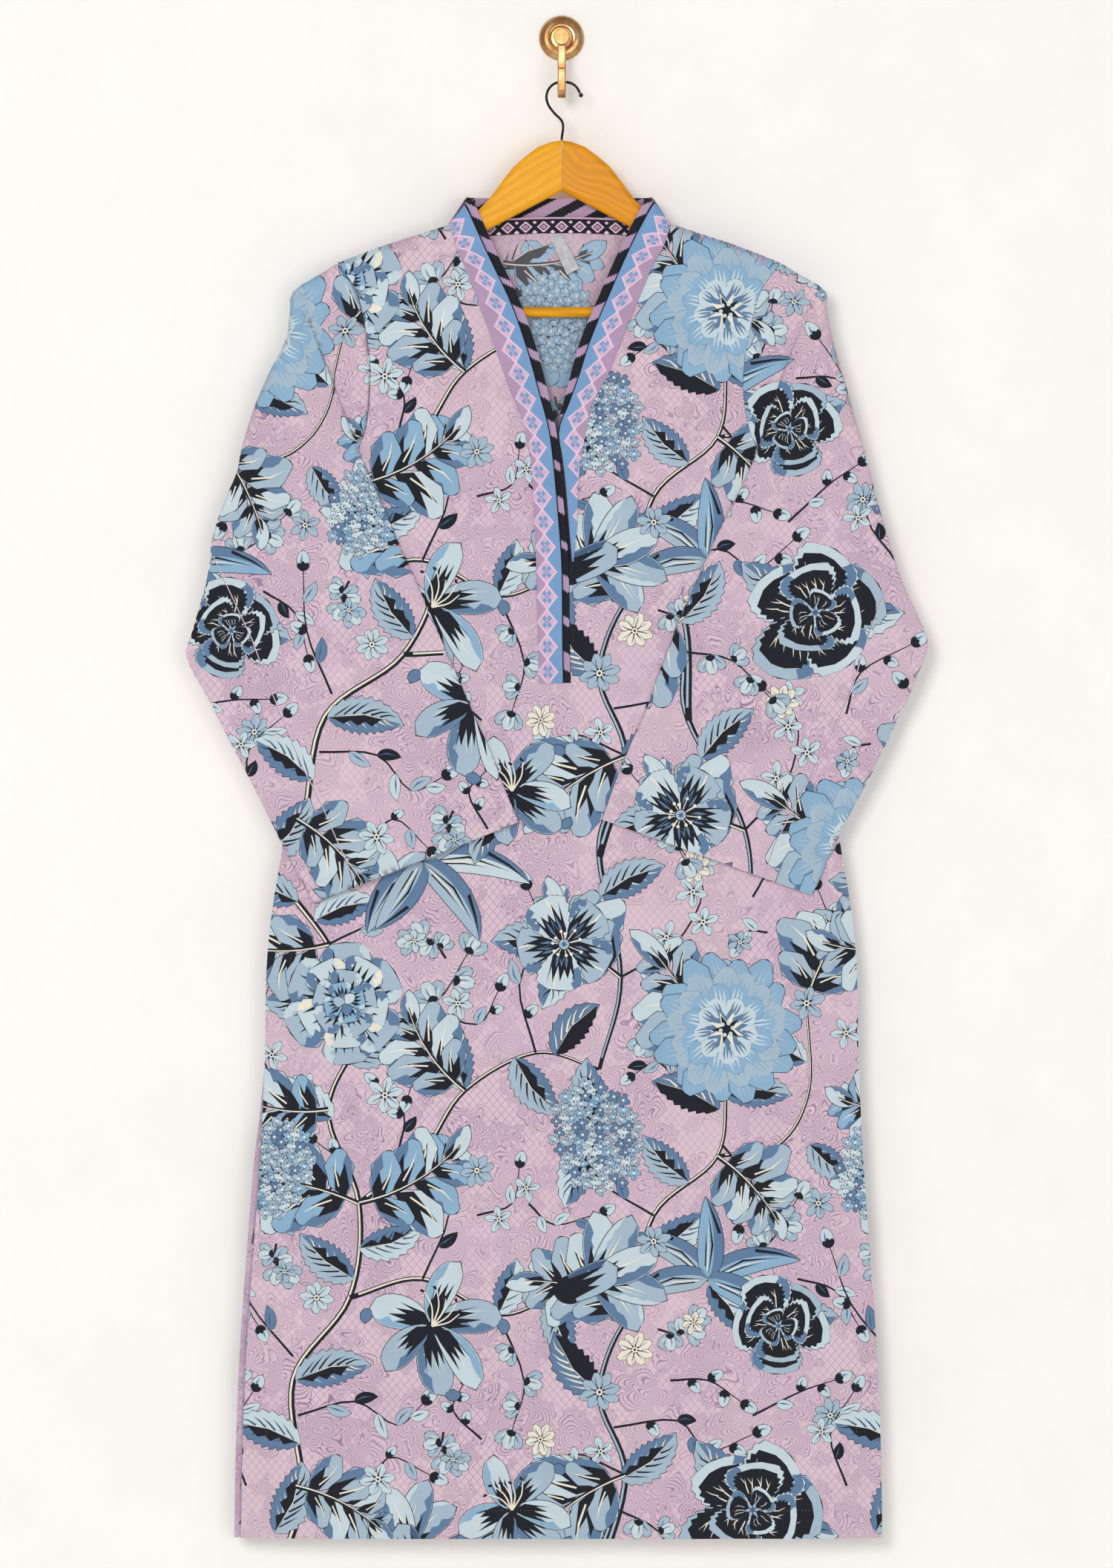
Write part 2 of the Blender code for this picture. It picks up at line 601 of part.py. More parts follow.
def build_hanger(wood, dark_wood, steel, collection):
    upright = Matrix.Translation((0, PLANE * MM, 0)) @ Matrix.Rotation(math.radians(90), 4, "X")
    add_plate("hanger_arm_left", arm_outline(-1), WOOD, upright, wood, collection, 4.0, 3, GAP / 2)
    add_plate("hanger_arm_right", arm_outline(1), WOOD, upright, dark_wood, collection, 4.0, 3, GAP / 2)
    mesh = bpy.data.meshes.new("hanger_bar")
    shape = bmesh.new()
    bmesh.ops.create_cone(
        shape, cap_ends=True, segments=24, radius1=BAR_RADIUS * MM, radius2=BAR_RADIUS * MM,
        depth=2 * (BAR_HALF - GAP) * MM,
    )
    shape.to_mesh(mesh)
    shape.free()
    mesh.shade_smooth()
    mesh.set_sharp_from_angle(angle=math.radians(40))
    bar = add_object("hanger_bar", mesh, wood, collection)
    bar.matrix_world = Matrix.Translation(place(0, PLANE, BAR_DROP)) @ Matrix.Rotation(math.radians(90), 4, "Y")
    route = [place(x, PLANE, drop) for x, drop in WIRE_ROUTE]
    add_wire("hanger_hook", smooth_route(route, 34), WIRE_RADIUS, steel, collection)
    add_ball("hanger_hook_tip", WIRE_TIP, WIRE_TIP_RADIUS, steel, collection)


def smooth_route(points, count):
    """Points of an even curve through the route's own points."""
    points = np.array(points)
    lengths = np.concatenate([[0], np.cumsum(np.linalg.norm(np.diff(points, axis=0), axis=1))])
    tables = [[(length, value) for length, value in zip(lengths, points[:, axis])] for axis in range(3)]
    return [[read(table, at) for table in tables] for at in np.linspace(0, lengths[-1], count)]


def add_wire(name, route, radius, finish, collection):
    curve = bpy.data.curves.new(name, "CURVE")
    curve.dimensions = "3D"
    curve.bevel_depth = radius * MM
    curve.bevel_resolution = 2
    curve.use_fill_caps = True
    line = curve.splines.new("POLY")
    line.points.add(len(route) - 1)
    for point, at in zip(line.points, route):
        point.co = (*at, 1.0)
    obj = bpy.data.objects.new(name, curve)
    curve.materials.append(finish)
    collection.objects.link(obj)
    return obj


def add_ball(name, at, radius, finish, collection):
    mesh = bpy.data.meshes.new(name)
    shape = bmesh.new()
    bmesh.ops.create_uvsphere(shape, u_segments=12, v_segments=8, radius=radius * MM)
    shape.to_mesh(mesh)
    shape.free()
    mesh.shade_smooth()
    obj = add_object(name, mesh, finish, collection)
    obj.location = place(at[0], PLANE, at[1])
    return obj


def add_turned(name, profile, centre_z, finish, collection, steps):
    """A (radius, distance from the wall) profile turned about an axis that leaves the wall."""
    mesh = bpy.data.meshes.new(name)
    shape = bmesh.new()
    line = [shape.verts.new((radius * MM, 0, off * MM)) for radius, off in profile]
    for a, b in zip(line, line[1:]):
        shape.edges.new((a, b))
    shape.to_mesh(mesh)
    shape.free()
    obj = add_object(name, mesh, finish, collection)
    obj.matrix_world = Matrix.Translation((0, 0, centre_z * MM)) @ Matrix.Rotation(math.radians(90), 4, "X")
    turned = obj.modifiers.new("turned", "SCREW")
    turned.steps = steps
    turned.render_steps = steps
    turned.use_merge_vertices = True
    turned.merge_threshold = 0.00005
    return obj


def build_wall_hook(brass, collection):
    r = ROSETTE_RADIUS
    rosette = ((0, 6.4), (5.4, 6.4), (6.2, 5.2), (9.0, 5.0), (9.8, 6.6), (11.2, 6.8), (12.2, 5.4),
               (14.6, 4.8), (15.6, 4.2), (r - 1.2, 3.0), (r, 1.6), (r, 0), (0, 0))
    add_turned("wall_rosette", rosette, 0.0, brass, collection, steps=30)
    stem = ((0, 29.5), (6.2, 29.5), (6.9, 28.8), (6.9, 26.6), (6.2, 25.9), (4.4, 25.4), (4.4, 6.7), (0, 6.7))
    add_turned("wall_stem", stem, -2.6, brass, collection, steps=24)
    # distance from the wall and height, round the side of the flat J-shaped bar
    outline = [(20.6, -7.3), (24.8, -7.3), (25.2, -36.5)]
    outline += [(30.0 + 4.8 * math.cos(a), -38.3 - 4.75 * math.sin(a)) for a in np.linspace(math.pi, 0, 9)[1:-1]]
    outline += [(34.8, -37.0), (34.4, -31.6), (35.4, -30.0), (37.2, -30.0), (38.4, -31.4), (38.6, -44.0)]
    outline += [(29.8 + 8.8 * math.cos(a), -46.0 - 9.0 * math.sin(a)) for a in np.linspace(0, math.pi, 11)[1:-1]]
    outline += [(20.8, -44.0)]
    sideways = Matrix(((0, 0, 1, 0), (-1, 0, 0, 0), (0, 1, 0, 0), (0, 0, 0, 1)))
    add_plate("wall_hook_bar", outline, 7.0, sideways, brass, collection, 0.9, 2)


def build():
    clear_scene()
    collection = bpy.data.collections.new("kameez_on_hanger")
    bpy.context.scene.collection.children.link(collection)
    print_cloth = material("printed_cotton", (0.62, 0.46, 0.58), 0.9)
    band_cloth = material("border_cotton", (0.35, 0.48, 0.68), 0.9)
    ikat = material("striped_cotton", (0.12, 0.09, 0.12), 0.9)
    label_cloth = material("label_tape", (0.55, 0.55, 0.58), 0.8)
    wood = material("amber_wood", (0.87, 0.45, 0.03), 0.4)
    dark_wood = material("dark_amber_wood", (0.8, 0.36, 0.02), 0.4)
    steel = material("steel_wire", (0.12, 0.12, 0.12), 0.35, 1.0)
    brass = material("brass", (0.72, 0.46, 0.24), 0.3, 1.0)

    build_front(print_cloth, collection)
    build_back(print_cloth, collection)
    build_sleeve("sleeve_left", -1, SLEEVE_LEFT, print_cloth, collection)
    build_sleeve("sleeve_right", 1, SLEEVE_RIGHT, print_cloth, collection)
    build_band("neck_band_left", BAND_LEFT, band_cloth, collection)
    build_band("neck_band_right", BAND_RIGHT, band_cloth, collection)
    build_roll("neck_roll_left", BAND_LEFT, ROLL_LEFT, ikat, collection)
    build_roll("neck_roll_right", BAND_RIGHT, ROLL_RIGHT, ikat, collection)
    build_stand(ikat, collection)
    build_neck_strip(ikat, collection)
    build_label(label_cloth, collection)
    build_hanger(wood, dark_wood, steel, collection)
    build_wall_hook(brass, collection)


build()
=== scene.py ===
"""The looks of a long kameez (tunic) on a wooden hanger and a brass wall hook.

Metres and +Z up in the scene. The tables and the drawing of the print are in millimetres:
"drop" is measured down from DATUM, and "out" from the garment's middle towards a sleeve.
"""

import math
import random

import bpy
import numpy as np
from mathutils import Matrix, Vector
from mathutils.bvhtree import BVHTree
from mathutils.geometry import delaunay_2d_cdt


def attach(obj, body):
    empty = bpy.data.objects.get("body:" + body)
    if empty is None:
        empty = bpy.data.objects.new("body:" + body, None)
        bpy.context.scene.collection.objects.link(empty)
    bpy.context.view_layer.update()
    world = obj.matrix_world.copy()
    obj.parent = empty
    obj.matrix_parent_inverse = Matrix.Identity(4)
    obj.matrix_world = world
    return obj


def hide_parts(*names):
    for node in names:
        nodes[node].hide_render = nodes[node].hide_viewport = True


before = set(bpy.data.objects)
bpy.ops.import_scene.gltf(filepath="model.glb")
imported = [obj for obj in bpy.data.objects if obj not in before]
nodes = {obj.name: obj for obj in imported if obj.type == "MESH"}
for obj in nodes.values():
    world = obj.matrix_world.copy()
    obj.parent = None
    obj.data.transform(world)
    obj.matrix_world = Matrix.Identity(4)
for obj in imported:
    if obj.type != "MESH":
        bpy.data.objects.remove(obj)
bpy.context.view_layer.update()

# ---- sizes, as in the solids

MM = 0.001
DATUM = -4.0  # the height that drops are measured from
PLANE = -30.0  # the plane that the garment hangs in
CLOTH = 1.0  # the wall of a panel or a sleeve
TRIM = 0.8  # the wall of a border
GAP = 0.3  # kept between pieces that meet
TINY = 1e-12  # the least length that is divided by
WELD = 1e-3  # points of a drawing nearer than this are one
EDGE_SAMPLES = 60  # faces of a shell's edge that are tried to find which way is out
STRAIGHT = 8.0  # the longest straight line in the drawn print
SLACK = 0.05  # how far a dropped point may lie off it
LENGTH_DROP = 1274.5
UNDERARM_DROP = 387.0
SLEEVE_FREE_DROP = 255.0
SLIT_DROP = 740.0
PLACKET_DROP = 548.0
ROUND_OVER = 6.0  # where the cloth turns over at the shoulders
ROLL_TUCK = 0.9  # how far the rolled strips reach under the borders
NECK_SEAM_DROP = 153.0
STAND_TOP = 134.8
NECK_STRIP = (151.4, 165.0)  # its edges, in the middle of the back
STRIP_WIDE = 13.6
HEM_FOLD = 24.0  # from the hem's stitches to the edge
SLIT_FOLD = 20.0  # from the slit's stitches to the edge
CUFF_FOLD = 16.0
FOLD_EXTRA = 0.28  # how much thicker the turned-in edges are

TOP_LINE = ((77.5, 134.8), (93.0, 158.8), (147.0, 176.0), (187.0, 191.0), (222.0, 210.0))
FRONT_FOLDS = ((-205, 26, 900, 2.2), (-120, 34, 960, 1.6), (-20, 40, 1040, 1.4), (95, 36, 930, 2.0),
               (200, 30, 980, 1.8))
BACK_FOLDS = ((-185, 32, 930, 1.8), (-60, 40, 900, 1.8), (70, 38, 1010, 1.4), (190, 30, 900, 2.0))
SLEEVE_COLUMNS = ("arm", "in_out", "in_drop", "out_out", "out_drop", "lap", "full")


class Curve:
    """A table whose columns are smooth curves over its first column."""

    def __init__(self, rows):
        self.rows = np.array(rows, float)
        self.keys = self.rows[:, 0]
        self.slopes = np.gradient(self.rows, self.keys, axis=0)

    def __call__(self, at, column=1):
        at = np.clip(at, self.keys[0], self.keys[-1])
        i = np.clip(np.searchsorted(self.keys, at, side="right") - 1, 0, len(self.keys) - 2)
        width = self.keys[i + 1] - self.keys[i]
        t = (at - self.keys[i]) / width
        value, slope = self.rows[:, column], self.slopes[:, column]
        return (
            value[i] * (1 + 2 * t) * (1 - t) ** 2 + value[i + 1] * t * t * (3 - 2 * t)
            + slope[i] * width * t * (1 - t) ** 2 - slope[i + 1] * width * t * t * (1 - t)
        )

    def straight(self, at, column=1):
        return np.interp(at, self.keys, self.rows[:, column])


LEAN = Curve(((130, -2.0), (190, -2.0), (300, -4.4), (400, -2.0), (700, 0.0), (1300, 0.0)))
BODY_EDGE = Curve((
    (191.5, 188.0), (213.6, 172.5), (234, 166.0), (254, 161.8), (287, 158.1), (315, 159.5),
    (342, 166.0), (360, 178.0), (373, 196.0), (382, 215.0), (387, 230.0), (430, 231.0),
    (535, 233.0), (693, 238.0), (725, 243.5), (762, 248.5), (876, 252.5), (951, 256.0),
    (1027, 261.5), (1103, 267.0), (1178, 270.5), (LENGTH_DROP, 272.5),
))
BODY_DEPTH = Curve(((130, 7.8), (260, 7.8), (400, 8.0), (700, 7.0), (1000, 6.0), (LENGTH_DROP, 5.0)))
BAND_LEFT = Curve((
    (141.8, -80.6, -93.9), (180.8, -63.6, -86.6), (229.3, -41.0, -69.0), (264, -29.0, -56.5),
    (300, -19.0, -43.5), (334.5, -10.0, -30.0), (363.5, -6.3, -25.8), (400, -3.0, -23.6),
    (437, 0.0, -22.0), (511, 1.3, -20.0), (PLACKET_DROP, 1.9, -19.2),
))
BAND_RIGHT = Curve((
    (140.0, 76.9, 91.4), (168, 62.4, 86.0), (215.5, 41.0, 68.0), (262, 22.0, 48.5),
    (287, 14.2, 39.0), (311, 5.5, 25.8), (334.5, -3.2, 20.5), (354, -0.6, 17.0),
    (374, 1.9, 14.6), (419, 5.7, 12.6), (445, 8.0, 10.0),
))
ROLL_LEFT = Curve(((141.8, 7.0), (229, 7.5), (300, 7.0), (334.5, 5.5), (437, 5.2), (PLACKET_DROP, 5.5)))
ROLL_RIGHT = Curve(((140.0, 7.0), (215, 7.5), (290, 6.5), (322, 3.0)))
SLEEVES = {
    -1: Curve((
        (192.5, 190.0, 192.6, 191.6, 193.0, 0.0, 0.0), (200, 197.0, 200.0, 203.8, 200.5, 0.0, 0.0),
        (213, 220.0, 213.5, 226.0, 214.0, 0.2, 0.0), (232, 216.5, 232.5, 230.6, 233.0, 1.6, 0.0),
        (252, 210.4, 252.0, 232.5, 252.0, 2.8, 0.2), (283, 198.0, 283.5, 247.6, 283.5, 3.8, 0.6),
        (313, 186.5, 315.0, 260.8, 314.0, 4.0, 1.2), (341, 175.0, 346.0, 270.9, 346.5, 3.8, 2.0),
        (371, 163.0, 373.0, 276.6, 372.0, 3.2, 2.8), (387, 155.6, 389.0, 284.0, 389.0, 2.8, 3.4),
        (422, 141.8, 422.0, 295.5, 422.0, 2.6, 4.2), (461, 124.0, 461.0, 301.0, 460.0, 2.6, 4.6),
        (500, 106.0, 503.0, 312.0, 500.0, 2.6, 4.6), (528, 95.0, 528.0, 318.0, 528.0, 2.6, 4.6),
        (550, 86.0, 549.0, 303.0, 556.0, 2.6, 4.6), (585, 73.7, 578.0, 282.0, 596.6, 2.6, 4.6),
        (622, 59.9, 608.0, 260.0, 638.8, 2.6, 4.6), (660, 47.9, 640.0, 238.8, 681.7, 2.6, 4.6),
        (700, 36.5, 667.0, 210.0, 735.0, 2.6, 4.6),
    )),
    1: Curve((
        (192.5, 186.0, 192.6, 187.6, 193.0, 0.0, 0.0), (200, 193.0, 200.0, 199.8, 200.5, 0.0, 0.0),
        (211, 214.0, 211.5, 220.8, 212.5, 0.2, 0.0), (230, 209.5, 230.5, 225.0, 231.0, 1.6, 0.0),
        (252, 201.3, 252.0, 229.0, 252.0, 2.8, 0.2), (283, 188.9, 283.5, 237.5, 283.5, 3.8, 0.6),
        (313, 177.9, 315.0, 246.6, 315.0, 4.0, 1.2), (341, 168.6, 346.0, 255.6, 347.0, 3.8, 2.0),
        (371, 156.9, 373.0, 262.4, 373.0, 3.2, 2.8), (387, 149.6, 389.0, 266.5, 389.0, 2.8, 3.4),
        (422, 132.3, 422.0, 275.9, 422.0, 2.6, 4.2), (461, 114.9, 461.0, 287.9, 460.0, 2.6, 4.6),
        (495, 99.0, 497.0, 303.0, 493.0, 2.6, 4.6), (514, 92.6, 515.3, 310.6, 512.0, 2.6, 4.6),
        (542, 82.0, 542.0, 301.0, 544.0, 2.6, 4.6), (574, 72.5, 569.5, 284.8, 580.0, 2.6, 4.6),
        (614, 58.6, 601.0, 261.5, 627.5, 2.6, 4.6), (650, 47.3, 628.7, 238.8, 670.0, 2.6, 4.6),
        (695, 34.7, 664.7, 212.5, 728.0, 2.6, 4.6),
    )),
}

# ---- the cloth's creases: each runs from (x, drop) to (x, drop), with its half width and height

FRONT_CREASES = (
    (-150, 330, -60, 470, 14, -0.9), (150, 330, 70, 460, 13, -0.8), (-205, 420, -120, 640, 16, 0.8),
    (210, 430, 130, 640, 15, 0.8), (-60, 560, -95, 820, 18, 0.7), (60, 580, 100, 860, 17, -0.7),
    (-230, 760, -120, 800, 11, 0.6), (235, 750, 140, 800, 11, 0.6), (-30, 700, 20, 1000, 20, -0.6),
    (-180, 860, -150, 1180, 15, -0.7), (170, 880, 150, 1200, 15, -0.7), (-250, 1000, -235, 1230, 9, 0.6),
    (-130, 1236, -60, 1252, 12, 1.2), (-60, 1225, 20, 1248, 14, -0.7), (120, 1232, 190, 1250, 12, 0.9),
    (-140, 210, -110, 330, 16, 0.6), (135, 205, 110, 320, 15, 0.6), (24, 350, 40, 520, 9, 0.6),
    (-34, 360, -38, 520, 8, 0.5), (240, 980, 225, 1190, 10, -0.5),
)
BACK_CREASES = (
    (-150, 330, -70, 480, 15, -0.9), (155, 330, 80, 470, 14, -0.9), (-40, 200, -60, 420, 20, 0.7),
    (45, 220, 70, 440, 18, 0.7), (-200, 440, -110, 700, 17, 0.8), (205, 450, 110, 690, 16, 0.9),
    (-20, 560, 10, 900, 22, -0.7), (-160, 820, -140, 1150, 16, -0.8), (150, 840, 165, 1180, 15, 0.7),
    (60, 900, 50, 1230, 14, 0.7), (-230, 760, -130, 790, 11, 0.6), (235, 770, 150, 800, 12, -0.6),
    (-70, 1228, 10, 1250, 13, 1.0), (110, 1236, 180, 1252, 12, -0.8),
)
SLEEVE_CREASES = (
    (205, 300, 262, 420, 9, 0.9), (176, 380, 250, 430, 8, -0.8), (160, 440, 270, 470, 9, 0.9),
    (130, 490, 300, 505, 8, -1.0), (120, 512, 306, 524, 6, 1.1), (112, 536, 290, 540, 8, -0.9),
    (96, 566, 240, 560, 9, 0.8), (150, 560, 120, 700, 11, 0.8), (215, 560, 165, 690, 10, -0.9),
    (70, 610, 200, 640, 10, 0.6), (230, 260, 214, 350, 7, -0.8), (290, 470, 250, 600, 8, 0.8),
    (330, 420, 380, 520, 10, 0.9), (345, 500, 420, 560, 9, -0.9), (330, 560, 420, 640, 11, 0.8),
)


def mix(a, b, share):
    return a + (b - a) * share


def unit(vectors):
    return vectors / np.maximum(np.linalg.norm(vectors, axis=-1, keepdims=True), TINY)


def put(name, data):
    """A new object in the scene."""
    obj = bpy.data.objects.new(name, data)
    bpy.context.scene.collection.objects.link(obj)
    return obj


def walk_round(following):
    """The loop from the least key on, where each key leads to the next."""
    start = min(following)
    loop, at = [start], following[start]
    while at != start:
        loop.append(at)
        at = following[at]
    return loop


def border_of(faces):
    """The border of a set of faces, which are loops of points that turn one way, as one loop."""
    edges = set()
    for face in faces:
        edges.update(zip(face, face[1:] + face[:1]))
    return walk_round({a: b for a, b in edges if (b, a) not in edges})


def ease(share):
    """A smooth step, 0 up to 0 and 1 from 1 on."""
    share = np.clip(share, 0.0, 1.0)
    return share * share * (3.0 - 2.0 * share)


def lean(drop):
    """Where the garment's middle is, as it doesn't hang quite straight."""
    return LEAN.straight(drop)


def below_top_line(out, drop):
    """The distance from the shoulders' line."""
    nearest = np.full(np.broadcast(out, drop).shape, 1e9)
    for (a0, d0), (a1, d1) in zip(TOP_LINE, TOP_LINE[1:]):
        along = ((out - a0) * (a1 - a0) + (drop - d0) * (d1 - d0)) / ((a1 - a0) ** 2 + (d1 - d0) ** 2)
        along = np.clip(along, 0.0, 1.0)
        nearest = np.minimum(nearest, np.hypot(out - mix(a0, a1, along), drop - mix(d0, d1, along)))
    return nearest


def dome(share):
    """A quarter of a circle, which rises from 0 at 0 to 1 at 1."""
    return np.sqrt(1.0 - (1.0 - np.clip(share, 0.0, 1.0)) ** 2)


def depth(x, drop, side):
    """How far a body panel's middle surface stands off the plane that the garment hangs in."""
    x, drop = np.asarray(x, float), np.asarray(drop, float)
    out = np.abs(x - lean(drop))
    half = BODY_EDGE(np.maximum(drop, UNDERARM_DROP))
    swell = np.maximum(0.0, 1.0 - (out / half) ** 4)
    swell = mix(1.0, swell, ease((drop - SLEEVE_FREE_DROP) / (UNDERARM_DROP - SLEEVE_FREE_DROP)))
    full = BODY_DEPTH.straight(drop) * swell
    edge = (CLOTH + GAP) / 2 + 1.2 * ease((drop - SLIT_DROP) / 200.0)
    for at, width, start, height in FRONT_FOLDS if side < 0 else BACK_FOLDS:
        grown = ease((drop - start) / (LENGTH_DROP - start))
        full = full + height * np.exp(-(((x - at) / width) ** 2)) * grown
    return GAP / 2 + dome(below_top_line(out, drop) / ROUND_OVER) * (edge - GAP / 2 + full)


def place(x, y, drop):
    """Points in metres from arrays in millimetres."""
    x, y, drop = np.broadcast_arrays(x, y, drop)
    return np.stack([x, y, DATUM - drop], axis=-1) * MM


def creases(table, x, drop):
    """The height of a table's creases."""
    total = np.zeros(np.broadcast(x, drop).shape)
    for x0, d0, x1, d1, width, height in table:
        run_x, run_d = x1 - x0, d1 - d0
        length = math.hypot(run_x, run_d)
        t = ((x - x0) * run_x + (drop - d0) * run_d) / length ** 2
        off = ((x - x0) * run_d - (drop - d0) * run_x) / length
        off = off + 0.12 * width * np.sin(5.0 * t + x0)
        total += height * np.exp(-(off / width) ** 2) * ease(1.6 * np.minimum(t, 1.0 - t))
    return total


def crease_height(x, drop, side):
    """The creases of a body panel, which fade out towards its edges and under the bands."""
    table = FRONT_CREASES if side < 0 else BACK_CREASES
    inside = ease((BODY_EDGE(drop) - np.abs(x - lean(drop))) / 20.0)
    inside = inside * ease((below_top_line(np.abs(x - lean(drop)), drop) - 8.0) / 20.0)
    return creases(table, x, drop) * inside


def panel_point(x, drop, side, lift=0.0):
    """A point of the front (side -1) or back (side +1) panel, moved out by lift along its normal."""
    x, drop = np.asarray(x, float), np.asarray(drop, float)
    step = 0.25

    def surface(x, drop):
        return depth(x, drop, side) + crease_height(x, drop, side)

    off = surface(x, drop)
    by_x = (surface(x + step, drop) - surface(x - step, drop)) / (2 * step)
    by_drop = (surface(x, drop + step) - surface(x, drop - step)) / (2 * step)
    size = np.sqrt(1 + by_x * by_x + by_drop * by_drop)
    return place(x - lift * by_x / size, PLANE + side * (off + lift / size), drop - lift * by_drop / size)


# ---- sheets: a grid of points, the flat place of each point on the cut cloth, and what is kept


class Sheet:
    """keep says which cells of the grid are cloth, and thicker how much its outer face is raised."""

    def __init__(self, points, flat, outward, keep=None, thicker=None):
        self.points = np.array(points, float)
        self.flat = np.array(flat, float)
        rows, cols = self.points.shape[:2]
        self.keep = np.ones((rows - 1, cols - 1), bool) if keep is None else keep
        across = np.gradient(self.points, axis=1)
        down = np.gradient(self.points, axis=0)
        self.normal = unit(np.cross(across, down)) * outward
        self.thicker = np.zeros((rows, cols)) if thicker is None else thicker

    def outline(self):
        """The grid's border as one loop of (row, column) pairs."""
        return border_of([(r, c), (r, c + 1), (r + 1, c + 1), (r + 1, c)] for r, c in np.argwhere(self.keep))

    def triangles(self):
        """The kept cells of the grid, as triangles of point numbers."""
        number = np.arange(self.flat[..., 0].size).reshape(self.flat.shape[:2])
        a, b = number[:-1, :-1][self.keep], number[:-1, 1:][self.keep]
        d, c = number[1:, :-1][self.keep], number[1:, 1:][self.keep]
        return np.concatenate([np.stack([a, b, c], 1), np.stack([a, c, d], 1)])


def signed_area(points):
    """A flat loop's area, above 0 where it turns left."""
    x, y = points[:, 0], points[:, 1]
    return 0.5 * float(np.dot(x, np.roll(y, -1)) - np.dot(y, np.roll(x, -1)))


def triangulate(loop, shapes, dots):
    """Triangles inside a loop of flat points, cut along the shapes. Gives the points, the
    triangles, the last shape over each triangle or -1, and where each loop point went."""
    coords = [Vector(p) for p in loop]
    faces = [list(range(len(loop)))]
    if signed_area(np.array(loop)) < 0:
        faces[0].reverse()
    for points in shapes:
        start = len(coords)
        order = points if signed_area(points) > 0 else points[::-1]
        coords += [Vector(p) for p in order]
        faces.append(list(range(start, start + len(points))))
    coords += [Vector(p) for p in dots]
    out, _, tris, was, _, owners = delaunay_2d_cdt(coords, [], faces, 1, WELD, True)
    flat = np.array([(p.x, p.y) for p in out])
    kept = [(t, max(o) - 1) for t, o in zip(tris, owners) if 0 in o]
    triangles = np.array([t for t, _ in kept])
    top = np.array([o for _, o in kept])
    went = {}
    for i, sources in enumerate(was):
        for source in sources:
            if source < len(loop):
                went[source] = i
    return flat, triangles, top, went


def plainer(flat, tris, shade, dots):
    """The same picture in fewer triangles. Only the lines between two shades stay, and points on
    their nearly straight stretches go."""
    ends = np.concatenate([tris[:, [0, 1]], tris[:, [1, 2]], tris[:, [2, 0]]])
    whose = np.tile(np.arange(len(tris)), 3)
    keys = np.sort(ends, axis=1).astype(np.int64) @ np.array([len(flat), 1])
    order = np.argsort(keys, kind="stable")
    keys, whose, ends = keys[order], whose[order], ends[order]
    paired = np.zeros(len(keys), bool)
    paired[:-1] = keys[:-1] == keys[1:]
    first = np.flatnonzero(paired)
    inside = ends[first[shade[whose[first]] != shade[whose[first + 1]]]]
    paired[first + 1] = True
    rim = ends[~paired]
    near = {}
    for a, b in inside.tolist():
        near.setdefault(a, []).append(b)
        near.setdefault(b, []).append(a)
    fixed = set(rim.ravel().tolist())
    places = flat.tolist()
    for v in list(near):
        if v in fixed or len(near[v]) != 2:
            continue
        a, b = near[v]
        (ax, ay), (bx, by), (x, y) = places[a], places[b], places[v]
        long = math.hypot(bx - ax, by - ay)
        if a == b or b in near[a] or not 1e-6 < long < STRAIGHT:
            continue
        if abs((bx - ax) * (y - ay) - (by - ay) * (x - ax)) < SLACK * long:
            near[a][near[a].index(v)] = b
            near[b][near[b].index(v)] = a
            del near[v]
    loop = walk_round(dict(rim.tolist()))
    number = {v: i for i, v in enumerate(loop)}
    for v in near:
        number.setdefault(v, len(number))
    lines = [(number[a], number[b]) for a in near for b in near[a] if a < b]
    coords = [Vector(places[v]) for v in number] + [Vector(p) for p in dots]
    out, _, made, _, _, owners = delaunay_2d_cdt(coords, lines, [list(range(len(loop)))], 1, WELD, True)
    made = np.array([t for t, o in zip(made, owners) if o])
    out = np.array([(p.x, p.y) for p in out])
    tree = BVHTree.FromPolygons([(x, y, 0.0) for x, y in places], tris.tolist())
    middles = out[made].mean(axis=1).tolist()
    return out, made, shade[[tree.find_nearest((x, y, 0.0))[2] for x, y in middles]]


def flat_cross(u, v):
    return u[:, 0] * v[:, 1] - u[:, 1] * v[:, 0]


def locate(sheet, flat):
    """For flat points, the grid triangle that each lies in and its weights there."""
    tris = sheet.triangles()
    places = sheet.flat.reshape(-1, 2)
    tree = BVHTree.FromPolygons([(x, y, 0.0) for x, y in places], tris.tolist())
    found = np.array([tree.find_nearest((x, y, 0.0))[2] for x, y in flat])
    corner = tris[found]
    p, q, r = (places[corner[:, k]] for k in range(3))
    u, v, w = q - p, r - p, flat - p
    whole = flat_cross(u, v)
    whole = np.where(np.abs(whole) < TINY, TINY, whole)
    second, third = flat_cross(w, v) / whole, flat_cross(u, w) / whole
    weights = np.clip(np.stack([1 - second - third, second, third], 1), 0.0, 1.0)
    return corner, weights / weights.sum(axis=1, keepdims=True)


def lifted(sheet, flat, offset, thicker):
    """For flat points, their places at an offset from the sheet's middle surface, and the normals
    there. With thicker, the offset grows at turned-in edges."""
    corner, weights = locate(sheet, flat)

    def blend(values):
        values = values.reshape(len(sheet.flat.reshape(-1, 2)), -1)
        return (values[corner] * weights[:, :, None]).sum(axis=1)

    normal = unit(blend(sheet.normal))
    more = blend(sheet.thicker) if thicker else 0.0
    return blend(sheet.points) + normal * (offset + more) * MM, normal


def sides_crossed(points, tris):
    """Each triangle's direction, as long as twice its area."""
    a, b, c = (points[tris[:, k]] for k in range(3))
    return np.cross(b - a, c - a)


